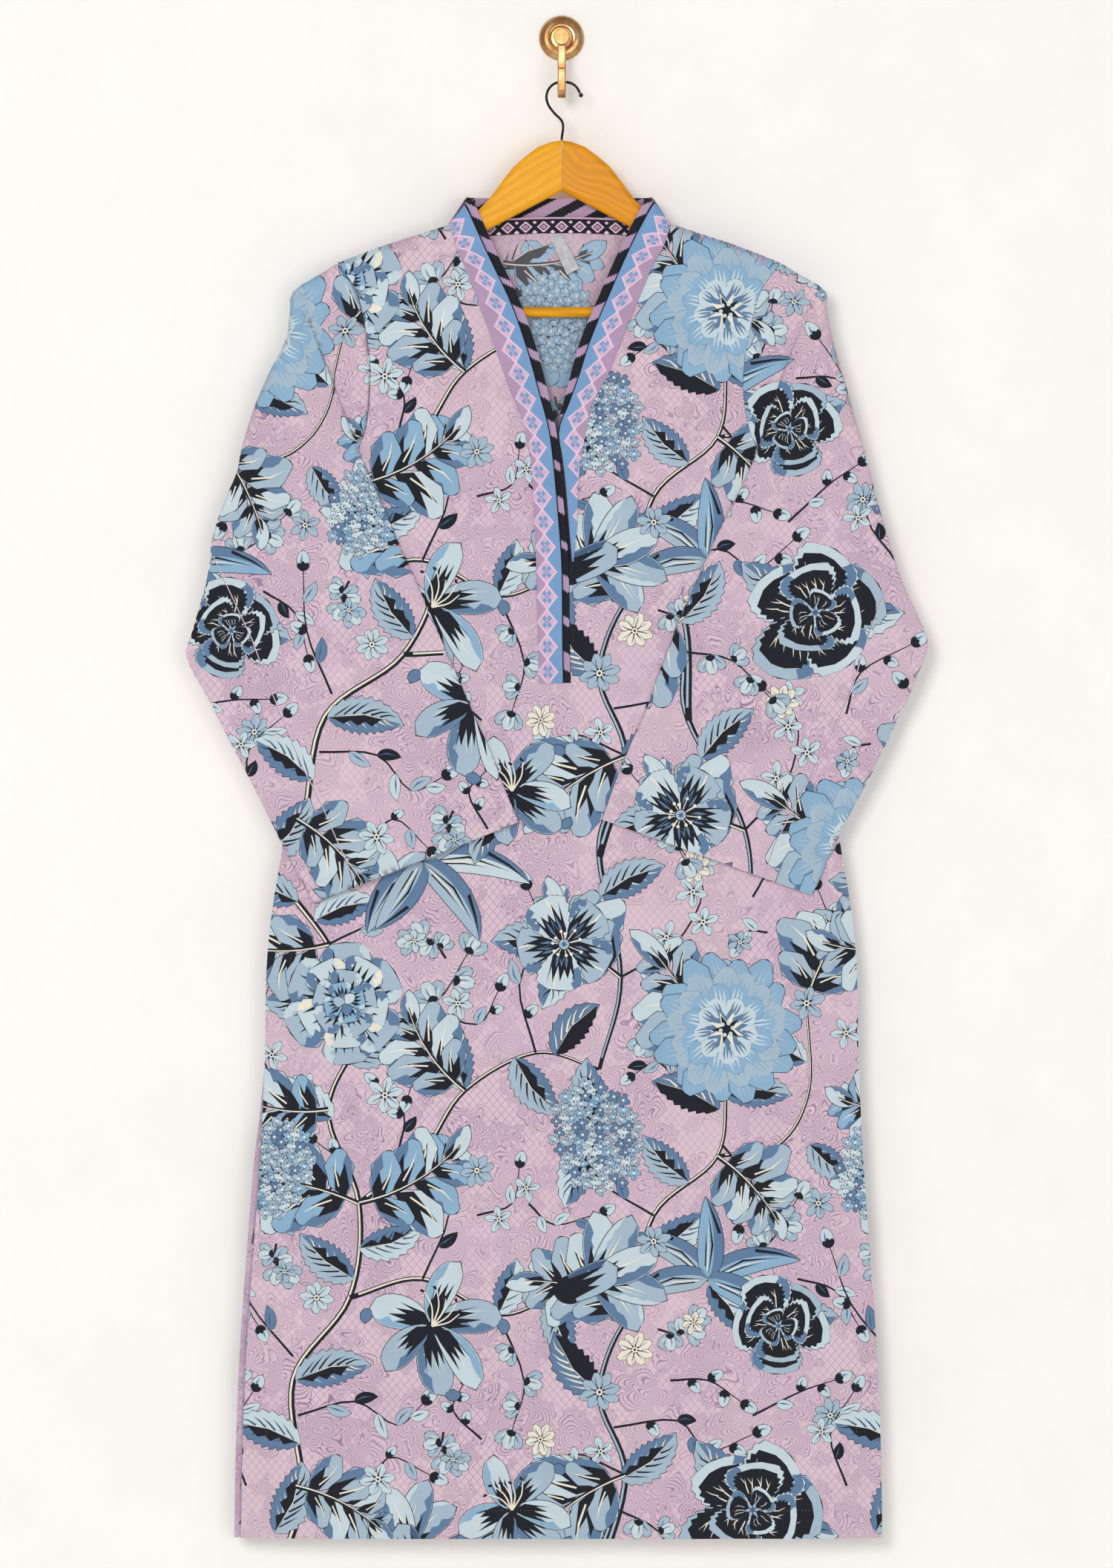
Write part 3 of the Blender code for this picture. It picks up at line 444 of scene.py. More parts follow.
def edge_strip(border, twin, points, tris):
    """The faces from the outer face's border to its twin behind, and the ways that they look,
    turned away from the middles of the outer face's triangles."""
    strip = []
    for k in range(len(border)):
        after = (k + 1) % len(border)
        strip += [(border[k], twin[k], twin[after]), (border[k], twin[after], border[after])]
    strip = np.array(strip)
    way = sides_crossed(points, strip)
    middle = points[strip].mean(axis=1)
    inward = points[tris].mean(axis=1)
    nearest = BVHTree.FromPolygons(points.tolist(), tris.tolist())
    share = 0.0
    for k in range(0, len(strip), max(1, len(strip) // EDGE_SAMPLES)):
        at = nearest.find_nearest(middle[k])[2]
        share += float(np.dot(way[k], middle[k] - inward[at]))
    return (strip[:, ::-1], unit(-way)) if share < 0 else (strip, unit(way))


def colour_faces(mesh, faces, flats, tints):
    """What the material reads: the flat place of each corner, and the colour of each face."""
    uv = mesh.uv_layers.new(name="cut")
    uv.data.foreach_set("uv", (flats[faces.ravel()] * MM).astype(np.float32).ravel())
    rgba = np.array([COLOURS[shade] for shade in tints], np.float32)
    layer = mesh.color_attributes.new("print", "FLOAT_COLOR", "CORNER")
    layer.data.foreach_set("color", np.repeat(rgba, 3, axis=0).ravel())
    ground = mesh.attributes.new("ground", "FLOAT", "FACE")
    ground.data.foreach_set("value", np.array([float(shade in GROUNDS) for shade in tints], np.float32))


def cloth(name, sheet, wall, finish, outside, inside, outer_shapes, inner_shapes):
    """A thin closed shell on a sheet, with the shapes of a drawing in each face, and its flat area.
    outside and inside name the two faces' own colours."""
    loop = [tuple(sheet.flat[r, c]) for r, c in sheet.outline()]
    dots = sheet.flat.reshape(-1, 2)
    flat, tris, top, _ = triangulate(loop, [points for points, _ in outer_shapes], dots)
    shades = sorted({outside} | {colour for _, colour in outer_shapes})
    shade = np.array([shades.index(colour) for _, colour in outer_shapes] + [shades.index(outside)])[top]
    flat, tris, shade = plainer(flat, tris, shade, dots)
    border = border_of(tris.tolist())
    inner_flat, inner_tris, inner_top, went = triangulate(
        [tuple(flat[i]) for i in border], [points for points, _ in inner_shapes], dots
    )
    outer, outer_normal = lifted(sheet, flat, wall / 2, True)
    back, back_normal = lifted(sheet, inner_flat, -wall / 2, False)
    # triangles turn so that they face the way the normals do
    if (sides_crossed(outer, tris) * outer_normal[tris[:, 0]]).sum() < 0:
        tris = tris[:, ::-1]
    else:
        inner_tris = inner_tris[:, ::-1]
    points = np.concatenate([outer, back])
    rim, outwards = edge_strip(border, [went[k] + len(outer) for k in range(len(border))], points, tris)
    faces = np.concatenate([tris, inner_tris + len(outer), rim])
    mesh = bpy.data.meshes.new(name)
    mesh.from_pydata(points.tolist(), [], faces.tolist())
    tints = [shades[k] for k in shade]
    tints += [inner_shapes[k][1] if k >= 0 else inside for k in inner_top]
    tints += [outside] * len(rim)
    colour_faces(mesh, faces, np.concatenate([flat, inner_flat]), tints)
    normals = np.concatenate([
        outer_normal[tris].reshape(-1, 3), -back_normal[inner_tris].reshape(-1, 3),
        np.repeat(outwards, 3, axis=0),
    ])
    mesh.shade_smooth()
    mesh.normals_split_custom_set(normals.tolist())
    mesh.materials.append(finish)
    obj = put(name, mesh)
    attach(obj, "root")
    return obj, sum_area(flat, tris) * MM * MM


def sum_area(flat, tris):
    a, b, c = flat[tris[:, 0]], flat[tris[:, 1]], flat[tris[:, 2]]
    return float(np.abs(flat_cross(b - a, c - a)).sum() / 2)


# ---- the colours of the cloth


def tint(code):
    """A colour written as six hex digits, as linear light."""
    parts = [int(code[i:i + 2], 16) / 255 for i in (0, 2, 4)]
    return tuple(p / 12.92 if p <= 0.04045 else ((p + 0.055) / 1.055) ** 2.4 for p in parts) + (1.0,)


# seam is painted shade in a seam's groove, and seam_light a painted highlight on its edge
COLOURS = {name: tint(code) for name, code in {
    "mauve": "D9C1CD", "inside": "C9B4C4", "light": "A4B9CA", "pale": "C5D5DD", "sky": "8BAFCC",
    "denim": "607D9F", "deep": "445E80", "ink": "1B1E27", "cream": "EAE3D3", "band_blue": "769DC9",
    "band_pink": "E6C6DC", "band_lilac": "D3B0CC", "band_mauve": "B095B4", "ikat_pink": "C9A3C0",
    "charcoal": "55555C", "in_light": "9DBAD2", "in_cream": "DDD6CA", "in_mauve": "C2AAC0",
    "seam": "8A6F8C", "seam_light": "E3D3E0",
}.items()}
GROUNDS = {"mauve", "inside"}


# ---- grids of the pieces


def shared_rows():
    """The drops of the rows at the armhole, close together where the cloth turns over the shoulder."""
    start = BODY_EDGE.keys[0]
    turn = [start + 7.0 * (1 - math.cos(a)) for a in np.linspace(0, math.pi / 2, 10)]
    return turn + list(np.linspace(turn[-1] + 5.0, UNDERARM_DROP, 32))


def panel_rows():
    line = LENGTH_DROP - HEM_FOLD
    body = list(np.linspace(UNDERARM_DROP + 8.0, line - 6.0, 100)) + [PLACKET_DROP + GAP]
    hem = [line - 0.8, line + 0.4, line + 2.0, line + 8.0, line + 16.0, LENGTH_DROP - 1.0, LENGTH_DROP]
    return sorted(shared_rows() + body + hem)


def columns(count):
    """Shares from 0 at the edge to 1 in the middle, close together near the edge."""
    return [1.0 - max(0.0, math.cos(0.5 * math.pi * i / count)) ** 1.25 for i in range(count + 1)]


def top_edge(out, neck):
    """The drop of a panel's top edge, which runs down to neck in the middle."""
    shoulder = TOP_LINE[1]
    seam = np.interp(out, [p[0] for p in TOP_LINE], [p[1] for p in TOP_LINE])
    return np.where(out >= shoulder[0], seam, mix(neck, shoulder[1], (out / shoulder[0]) ** 2))


def row_drop(edge_drop, top_here):
    """The drop of a row, which is level below the underarm and follows the top edge above it."""
    start = BODY_EDGE.keys[0]
    level = ease((edge_drop - start) / (UNDERARM_DROP - start))
    return edge_drop + (top_here - start) * (1.0 - level)


def front_edge_inside(side, drop):
    """Where the front ends at the neck and the placket, under the borders."""
    inner = BAND_LEFT(drop)
    tuck = ROLL_TUCK + 2 * GAP + 14.0 * (1.0 - ease((drop - 158.0) / 60.0))
    if side < 0:
        return inner - tuck
    beside_roll = inner + ROLL_LEFT(drop) + GAP + 0.1
    if drop > BAND_RIGHT.keys[-1]:
        return beside_roll
    return max(BAND_RIGHT(drop) + tuck, beside_roll)


def hem_swell(x, drop):
    """The extra thickness of the turned-in hem and slit edges."""
    over_hem = ease((drop - (LENGTH_DROP - HEM_FOLD)) / 1.5)
    edge = BODY_EDGE(drop) - np.abs(x - lean(drop))
    over_slit = ease((SLIT_FOLD - edge) / 1.5) * ease((drop - SLIT_DROP) / 6.0)
    return FOLD_EXTRA * np.maximum(over_hem, over_slit)


def front_sheet():
    """The front panel, open along its middle down to the placket's end."""
    shares = np.array(columns(24))
    neck = TOP_LINE[1][1]
    start = BODY_EDGE.rows[0][1]
    tops = {side: top_edge(np.abs(mix(start, side * front_edge_inside(side, neck), shares)), neck)
            for side in (-1, 1)}
    drops = panel_rows()
    x, drop = [], []
    for edge_drop in drops:
        halves = []
        for side in (-1, 1):
            edge = lean(edge_drop) + side * BODY_EDGE(edge_drop)
            inner = front_edge_inside(side, row_drop(edge_drop, neck))
            halves.append((mix(edge, inner, shares), row_drop(edge_drop, tops[side])))
        x.append(np.concatenate([halves[0][0], halves[1][0][::-1]]))
        drop.append(np.concatenate([halves[0][1], halves[1][1][::-1]]))
    x, drop = np.array(x), np.array(drop)
    keep = np.ones((len(drops) - 1, x.shape[1] - 1), bool)
    keep[np.array(drops[:-1]) < PLACKET_DROP + GAP / 2, len(shares) - 1] = False
    return Sheet(panel_point(x, drop, -1), np.stack([x, -drop], -1), -1.0, keep, hem_swell(x, drop))


def back_shows(drop):
    """0 above and 1 below where the back comes out from behind the front at the left slit."""
    return ease((drop - 860.0) / 120.0)


def back_sheet():
    """The back panel, a little wider than the front at the left slit."""
    shares = np.array(columns(26))
    start = BODY_EDGE.rows[0][1]
    tops = top_edge(mix(start, 0.0, shares), NECK_SEAM_DROP)
    x, drop = [], []
    for edge_drop in panel_rows():
        wider = 6.0 * back_shows(edge_drop)
        centre = lean(edge_drop)
        left = mix(centre - BODY_EDGE(edge_drop) - wider, centre, shares)
        right = mix(centre + BODY_EDGE(edge_drop), centre, shares)
        down = row_drop(edge_drop, tops)
        x.append(np.concatenate([left, right[-2::-1]]))
        drop.append(np.concatenate([down, down[-2::-1]]))
    x, drop = np.array(x), np.array(drop)
    return Sheet(panel_point(x, drop, 1), np.stack([-x, -drop], -1), 1.0, None, hem_swell(x, drop))


def sleeve_row(side, arm_drop):
    """The named columns of a sleeve's table."""
    return {name: float(SLEEVES[side](arm_drop, i)) for i, name in enumerate(SLEEVE_COLUMNS)}


def seam_point(side, drop, off):
    """A point off the body's edge, as (out, drop)."""
    above = BODY_EDGE.keys[0] + 1.0
    slope = float(BODY_EDGE(drop) - BODY_EDGE(drop - 1.0)) if drop > above else 0.0
    size = math.hypot(1.0, slope)
    return float(BODY_EDGE(drop)) + side * float(lean(drop)) + off / size, drop - off * slope / size


def sleeve_ring(side, row):
    """One section of a sleeve, as (out, drop, y) in millimetres, and the index of its outer fold."""
    arm_drop = min(row["arm"], UNDERARM_DROP)
    fold = (row["in_out"], row["in_drop"])
    outer = (row["out_out"], row["out_drop"])
    open_row = row["arm"] < UNDERARM_DROP - 0.5
    seam = float(BODY_EDGE(arm_drop)) + side * float(lean(arm_drop))
    over = float(ease((seam + 12.0 - fold[0]) / 6.0))  # 1 where the inner fold lies over the body
    in_front = float(ease((row["arm"] - UNDERARM_DROP) / 30.0))  # 1 where the whole sleeve does
    past = float(ease((row["arm"] - 560.0) / 100.0))  # 1 near the cuff
    start = seam_point(side, arm_drop, GAP + over * CLOTH / 2)
    if not open_row:
        beside = float(BODY_EDGE(row["arm"])) + side * float(lean(row["arm"])) + GAP + CLOTH / 2
        share = mix((beside - fold[0]) / (outer[0] - fold[0]), 0.5, past)
        corner = row["arm"] - 1.6
        start = (mix(fold[0], outer[0], share), mix(corner, mix(fold[1], outer[1], share), in_front))
    climb = over * (CLOTH + GAP + 0.4)
    hold = over * (1.0 - in_front)
    nose = mix(ROUND_OVER, 1.3, float(ease((row["arm"] - 260.0) / 110.0)))
    nose = min(nose, 0.45 * (outer[0] - fold[0]))
    turn = min(1.2, 0.3 * (outer[0] - fold[0]))
    lap_side = min(max((start[0] - fold[0]) / 4.0, -1.0), 1.0)

    def front_level(out, drop):
        return PLANE - depth(side * out, drop, -1)

    def level_below(out, drop):
        return front_level(out, drop) - climb

    def level_front(out, drop):
        share = np.clip((out - fold[0]) / (outer[0] - fold[0]), 0.0, 1.0)
        return level_below(out, drop) - row["lap"] - row["full"] * np.sin(math.pi * share) ** 0.8

    def level_behind(out, drop):
        return mix(PLANE + depth(side * out, drop, 1), level_below(out, drop), in_front)

    parts = []

    def add(out, drop, y):
        parts.append(np.stack(np.broadcast_arrays(np.atleast_1d(out).astype(float), drop, y), -1))

    # from the seam, or from within the layer behind, to the inner fold
    corner = fold[0] + lap_side * turn
    first_y = front_level(*start) if open_row else mix(front_level(*start), level_below(*start), in_front)
    add(start[0], start[1], first_y)
    shares = np.array([0.12, 0.23, 0.34, 0.45, 0.56, 0.67, 0.78, 0.9])
    out = mix(start[0], corner, shares * (1.0 - hold * (shares < 0.2)))
    drop = mix(start[1], fold[1], shares)
    add(out, drop, level_below(out, drop))
    # round the inner fold
    angles = np.radians(np.linspace(-90, 90, 9))
    swing = turn * (1.0 - np.cos(angles))
    out = fold[0] + np.where(angles < 0, swing * lap_side, swing)
    low, high = level_below(fold[0] + turn, fold[1]), level_front(fold[0] + turn, fold[1])
    add(out, np.full(out.shape, fold[1]), mix(low, high, 0.5 + 0.5 * np.sin(angles)))
    # the front layer, with rows close together at its ends
    front_start, front_end = fold[0] + turn, outer[0] - nose
    middle = (level_front(front_end, outer[1]) + level_behind(front_end, outer[1])) / 2
    shares = np.concatenate([[0.02, 0.05, 0.09], np.linspace(0.13, 0.93, 22), [0.97, 1.0]])
    out, drop = mix(front_start, front_end, shares), mix(fold[1], outer[1], shares)
    add(out, drop, level_front(out, drop))
    # round the outer fold
    away = np.array([0.72, 0.5, 0.32, 0.18, 0.08, 0.02])
    full = outer[1] + 0 * away
    add(outer[0] - nose * away, full, mix(middle, level_front(front_end, outer[1]), dome(away)))
    apex = sum(len(p) for p in parts)
    add(outer[0], outer[1], middle)
    behind = mix(middle, level_behind(front_end, outer[1]), dome(away))
    add((outer[0] - nose * away)[::-1], full, behind[::-1])
    # the layer behind, back to the seam
    end = seam_point(side, arm_drop, GAP) if open_row else start
    shares = np.linspace(0.0, 1.0, 22)
    out, drop = mix(front_end, end[0], shares), mix(outer[1], end[1], shares)
    add(out, drop, level_behind(out, drop))
    return np.concatenate(parts), apex


def walked_along(points):
    """The way along a line of points, at each of them."""
    return np.concatenate([[0.0], np.cumsum(np.linalg.norm(np.diff(points, axis=0), axis=1))])


def sleeve_sheet(side):
    """A sleeve, from its section at each drop of SLEEVES."""
    last = SLEEVES[side].keys[-1]
    stitched = last - CUFF_FOLD
    arms = [r for r in shared_rows() if r >= 193.0]
    arms += list(np.linspace(UNDERARM_DROP + 4.0, stitched - 3.0, 52))
    arms += [stitched - 0.6, stitched + 0.6, stitched + 3.0, last - 6.0, last - 0.8, last]
    grid, flats = [], []
    for arm in arms:
        row = sleeve_row(side, arm)
        ring, apex = sleeve_ring(side, row)
        fold = np.array((side * row["in_out"], -row["in_drop"]))
        outer = np.array((side * row["out_out"], -row["out_drop"]))
        along = (outer - fold) / np.linalg.norm(outer - fold)
        walked = walked_along(ring)
        flats.append(outer + along * (walked - walked[apex])[:, None])
        grid.append(ring)
    ring = np.array(grid)
    flat = np.array(flats)
    x, drop = side * ring[..., 0], ring[..., 1]
    sheet = Sheet(place(x, ring[..., 2], drop), flat, -float(side))
    soft = creases(SLEEVE_CREASES, np.abs(flat[..., 0]), -flat[..., 1])
    free = ease((np.array(arms) - 215.0) / 40.0)[:, None]
    order = np.arange(ring.shape[1])
    free = free * (ease((order - 12) / 8.0) * ease((ring.shape[1] - 4 - order) / 10.0))[None, :]
    soft = soft * free * (1.0 - 0.65 * np.exp(-((order - apex) / 5.0) ** 2))[None, :]
    sheet.points = sheet.points + sheet.normal * soft[..., None] * MM
    cuff = ease((np.array(arms) - stitched) / 1.5)[:, None]
    return Sheet(sheet.points, flat, -float(side), None, FOLD_EXTRA * cuff * np.ones(ring.shape[:2]))


def strip_drops(start, end, count):
    """The rows of a border, close together at its top."""
    near = [start + d for d in (0.0, 0.3, 0.8, 1.6, 2.8, 4.5, 7.0, 10.0)]
    return np.array(near + list(np.linspace(14.0 + start, end, count)))


BAND_SLANT = 0.93  # a border's own width over its level width


def band_sheet(table):
    """The border on the front. Its flat place is (distance from the inner edge, length along it)."""
    lift = CLOTH / 2 + GAP + TRIM / 2 + 0.3
    side = -1 if table.rows[0][1] < 0 else 1
    drops = strip_drops(table.keys[0], table.keys[-1], 80)
    inner, outer = table(drops, 1), table(drops, 2)
    tilt = (TOP_LINE[1][1] - table.keys[0]) * (1.0 - ease((drops - table.keys[0]) / 60.0))
    shares = np.linspace(0.0, 1.0, 9)
    x = mix(outer[:, None], inner[:, None], shares)
    drop = drops[:, None] + tilt[:, None] * (1.0 - shares) + 0.5
    points = panel_point(x, drop, -1, lift)
    along = walked_along(np.stack([x[:, -1], drop[:, -1]], -1))
    across = np.abs(x - inner[:, None]) * BAND_SLANT
    flat = np.stack([across, -np.repeat(along[:, None], len(shares), 1)], -1)
    return Sheet(points, flat, float(side))


def roll_sheet(band, widths):
    """The rolled strip along a border's inner edge, in the front panel's plane."""
    side = -1 if band.rows[0][1] < 0 else 1
    drops = strip_drops(widths.keys[0] - 3.0, widths.keys[-1], 70)
    edge = band(drops, 1) - side * 0.3 * np.maximum(0.0, band.keys[0] - drops)
    width = widths(drops)
    shares = np.linspace(0.0, 1.0, 6)
    x = edge[:, None] + side * mix(ROLL_TUCK, -width[:, None], shares)
    drop = np.repeat(drops[:, None], len(shares), 1)
    points = panel_point(x, drop, -1)
    along = walked_along(np.stack([x[:, 0], drop[:, 0]], -1))
    flat = np.stack([mix(0.0, width[:, None], shares), -np.repeat(along[:, None], len(shares), 1)], -1)
    return Sheet(points, flat, float(side))


def stand_sheet():
    """The stretch of the border that stands up behind the neck."""
    lift = CLOTH / 2 + GAP + TRIM / 2 + 0.3
    tip, corner = TOP_LINE[0], TOP_LINE[1]
    near = [0.0, 0.004, 0.012, 0.022, 0.035, 0.055, 0.08]
    across = np.array(near + list(np.linspace(0.12, 0.88, 30)) + [1.0 - s for s in near[::-1]])
    rise = np.linspace(0.0, 1.0, 7)[:, None]
    arc = 1.0 - (2.0 * across - 1.0) ** 2
    low = mix(corner[1], NECK_SEAM_DROP + 2.0, np.minimum(1.0, 1.6 * arc))
    reach = mix(corner[0], tip[0], rise) - 0.1
    drop = mix(low[None, :], STAND_TOP + 0.6 * arc[None, :], rise)
    x = lean(drop) + reach * (2.0 * across - 1.0)
    return Sheet(panel_point(x, drop, 1, lift), np.stack([x, -drop], -1), 1.0)


def strip_sheet():
    """The strip inside the back neck."""
    lift = -(CLOTH / 2 + GAP + TRIM / 2)
    x = np.linspace(-77.0, 77.0, 40)[None, :]
    share = np.linspace(0.0, 1.0, 6)[:, None]
    drop = mix(*NECK_STRIP, share) + 4.0 * (x / 80.0) ** 2
    x = np.repeat(x, len(share), 0)
    flat = np.stack([x, np.repeat(-share, x.shape[1], 1) * STRIP_WIDE], -1)
    return Sheet(panel_point(x, drop, 1, lift), flat, -1.0)


# ---- drawing the print: flat shapes in painter's order, in millimetres


OUTLINE = 0.6  # the width of the dark line round a petal or a leaf
REPEAT = (510.0, 610.0)  # the print's width and height before it repeats
GOLDEN_ANGLE = 2.39996  # from one floret of a head to the next


class Sketch:
    """Shapes as (points, colour) pairs, each over those before it."""

    def __init__(self):
        self.shapes = []

    def add(self, points, colour):
        self.shapes.append((np.asarray(points, float), colour))

    def moved(self, x, y, turn):
        c, s = math.cos(turn), math.sin(turn)
        spin = np.array(((c, s), (-s, c)))
        return [(points @ spin + (x, y), colour) for points, colour in self.shapes]


class Blade:
    """A petal or a leaf. at(t, f) is a point t along its bent middle, 0 to 1, and f across it,
    -1 to 1."""

    def __init__(self, x, y, angle, length, width, bend=0.0, swell=(0.75, 0.75), teeth=0, bite=0.0):
        self.base = np.array((x, y))
        self.angle, self.length, self.bend = angle, length, bend if abs(bend) > 1e-3 else 1e-3
        self.half, self.swell = width / 2, swell
        self.teeth, self.bite = teeth, bite

    def width_at(self, t):
        """Half the width, which swells to its full size between two pointed or rounded ends."""
        p, q = self.swell
        top = p / (p + q)
        t = np.clip(t, 0.0, 1.0)
        return self.half * t ** p * (1 - t) ** q / (top ** p * (1 - top) ** q)

    def at(self, t, f, more=0.0):
        t, f = np.broadcast_arrays(np.asarray(t, float), np.asarray(f, float))
        turned = self.angle + self.bend * t
        run = self.length / self.bend
        x = run * (np.sin(turned) - math.sin(self.angle))
        y = run * (math.cos(self.angle) - np.cos(turned))
        off = (self.width_at(t) + more) * f
        return self.base + np.stack([x - np.sin(turned) * off, y + np.cos(turned) * off], -1)

    def rim(self, side, start=0.0, end=1.0, more=0.0, steps=9):
        """One side's edge, with its teeth."""
        t = np.linspace(start, end, steps)
        if not self.teeth:
            return self.at(t, side, more)
        k = np.arange(self.teeth)
        notch, point = (k + 0.25) / self.teeth, (k + 0.95) / self.teeth
        t = np.concatenate([[0.0], np.stack([notch, point], 1).ravel(), [1.0]])
        reach = np.concatenate([[1.0], np.tile([1.0 - self.bite, 1.0 + self.bite], self.teeth), [1.0]])
        inside = (t >= start) & (t <= end)
        return self.at(t[inside], side * reach[inside], more)

    def border(self, more=0.0, steps=10):
        tip = self.at(1.0, 0.0)
        ahead = (math.cos(self.angle + self.bend), math.sin(self.angle + self.bend))
        left, right = self.rim(1, more=more, steps=steps), self.rim(-1, more=more, steps=steps)
        point = tip + np.array(ahead) * more * 1.8
        return np.concatenate([left[:-1], [point], right[:-1][::-1]])

    def outlined(self, sketch, fill, more=OUTLINE, steps=10):
        """The blade in a colour, with a dark line round it."""
        sketch.add(self.border(more, steps), "ink")
        sketch.add(self.border(0.0, steps), fill)

    def spike(self, sketch, colour, t0, t1, f0, f1, width):
        """A thin stroke from (t0, f0) to a point at (t1, f1), width as a share of the blade's."""
        middle, f_mid = (t0 + t1) / 2, (f0 + f1) / 2
        sketch.add(self.at(
            [t0, middle, t1, middle, t0],
            [f0 - width / 2, f_mid - 0.42 * width, f1, f_mid + 0.42 * width, f0 + width / 2],
        ), colour)

    def jagged(self, sketch, colour, t0, t1, f_edge, f_in, count, rng, depth=0.5):
        """A patch between the line f_edge and a ragged line about f_in, tapering at both ends."""
        t = np.linspace(t0, t1, 2 * count + 1)
        shares = [depth * rng.random() if k % 2 else -0.12 for k in range(len(t))]
        ragged = np.array([mix(f_in, f_edge, share) for share in shares])
        ragged[0] = ragged[-1] = f_edge
        outer = np.linspace(t1, t0, count + 2)
        sketch.add(np.concatenate([self.at(t, ragged), self.at(outer, f_edge)[1:-1]]), colour)

    def flame(self, sketch, colour, reach, wide, count, rng, start=0.0):
        """A patch that rises from the base and ends in ragged tongues."""
        f = np.linspace(-wide, wide, 2 * count + 1)
        t = [reach * (rng.uniform(0.82, 1.08) if k % 2 else rng.uniform(0.5, 0.66)) for k in range(len(f))]
        t[0] = t[-1] = start + 0.3 * (reach - start)
        sketch.add(self.at([start] + t + [start], [-wide * 0.7] + list(f) + [wide * 0.7]), colour)


def smooth_line(points, steps=8):
    """A smooth curve through a few points."""
    points = np.array(points, float)
    ahead = np.concatenate([[2 * points[0] - points[1]], points, [2 * points[-1] - points[-2]]])
    out = []
    for i in range(len(points) - 1):
        a, b, c, d = ahead[i:i + 4]
        for t in np.linspace(0, 1, steps, endpoint=False):
            out.append(0.5 * (2 * b + (c - a) * t + (2 * a - 5 * b + 4 * c - d) * t * t
                              + (3 * b - a - 3 * c + d) * t ** 3))
    return np.array(out + [points[-1]])


def left_of(line):
    """The unit normals on the left of a flat line."""
    run = np.gradient(line, axis=0)
    return unit(np.stack([-run[:, 1], run[:, 0]], -1))


def ribbon(sketch, line, start, end, colour, aside=0.0):
    """A stroke along a line whose width goes from start to end, moved aside by a share of it."""
    normal = left_of(line)
    width = np.linspace(start, end, len(line))[:, None]
    middle = line + normal * width * aside
    sketch.add(np.concatenate([middle + normal * width / 2, (middle - normal * width / 2)[::-1]]), colour)


def stem(sketch, points, start, end, light):
    """A dark branch with a line of light on one side."""
    line = smooth_line(points)
    ribbon(sketch, line, start, end, "ink")
    ribbon(sketch, line[1:-1], start * 0.34, end * 0.3, light, 0.45)


def petal(sketch, blade, rng, fill, shade, dark, glow, reach, edge=None):
    """A petal with a shaded side, light streaks and a dark flame at its base."""
    blade.outlined(sketch, fill)
    side = rng.choice((-1, 1))
    blade.jagged(sketch, shade, 0.06, 0.92, side * 0.97, side * 0.42, 4, rng)
    if edge:
        blade.jagged(sketch, edge, 0.3, 0.97, -side * 0.96, -side * 0.62, 4, rng)
    for k in range(glow):
        f = -side * (0.15 + 0.3 * k)
        blade.spike(sketch, "cream" if k == 0 else "pale", 0.12, 0.66 + 0.2 * rng.random(), f * 0.6, f, 0.14)
    blade.flame(sketch, "ink", reach, 0.8, dark, rng)


def leaf(sketch, x, y, angle, length, width, bend, rng, teeth, fill, shade, vein):
    """A toothed leaf with a dark half, veins and a pale rib."""
    blade = Blade(x, y, angle, length, width, bend, (0.7, 0.85), teeth, 0.1)
    blade.outlined(sketch, fill)
    side = 1 if bend >= 0 else -1
    rib = blade.at(np.linspace(0.97, 0.03, 6), side * 0.04)
    sketch.add(np.concatenate([blade.rim(side, 0.02, 0.98), rib]), shade)
    count = max(3, int(length / 11))
    for k in range(count):
        t = 0.1 + 0.7 * k / count
        run = 0.2 + 0.05 * rng.random()
        blade.spike(sketch, vein, t, t + run, -side * 0.05, -side * rng.uniform(0.62, 0.82), 0.14)
        blade.spike(sketch, "ink" if vein != "ink" else "cream", t + 0.03, t + run, side * 0.05,
                    side * rng.uniform(0.55, 0.8), 0.13)
    blade.jagged(sketch, "ink", 0.0, 0.8, side * 0.02, side * 0.56, 4, rng, 0.8)
    blade.spike(sketch, "cream", 0.0, 0.93, -side * 0.03, 0.0, 0.11)
    blade.spike(sketch, "ink", 0.0, 0.96, 0.02 * side, 0.0, 0.07)


def strap(sketch, x, y, angle, length, width, bend, fill):
    """A long bending leaf with lengthwise stripes."""
    blade = Blade(x, y, angle, length, width, bend, (0.45, 0.75))
    blade.outlined(sketch, fill, OUTLINE, 14)
    side = 1 if bend >= 0 else -1
    t = np.linspace(0.0, 1.0, 12)
    sketch.add(np.concatenate([blade.at(t, -side), blade.at(t[::-1], -side * 0.25)]), "denim")
    blade.spike(sketch, "ink", 0.0, 0.82, -side * 0.2, -side * 0.05, 0.2)
    blade.spike(sketch, "ink", 0.15, 0.6, side * 0.4, side * 0.35, 0.12)
    blade.spike(sketch, "cream", 0.1, 0.7, side * 0.2, side * 0.15, 0.12)
    blade.spike(sketch, "ink", 0.55, 0.99, -side * 0.75, -side * 0.3, 0.3)


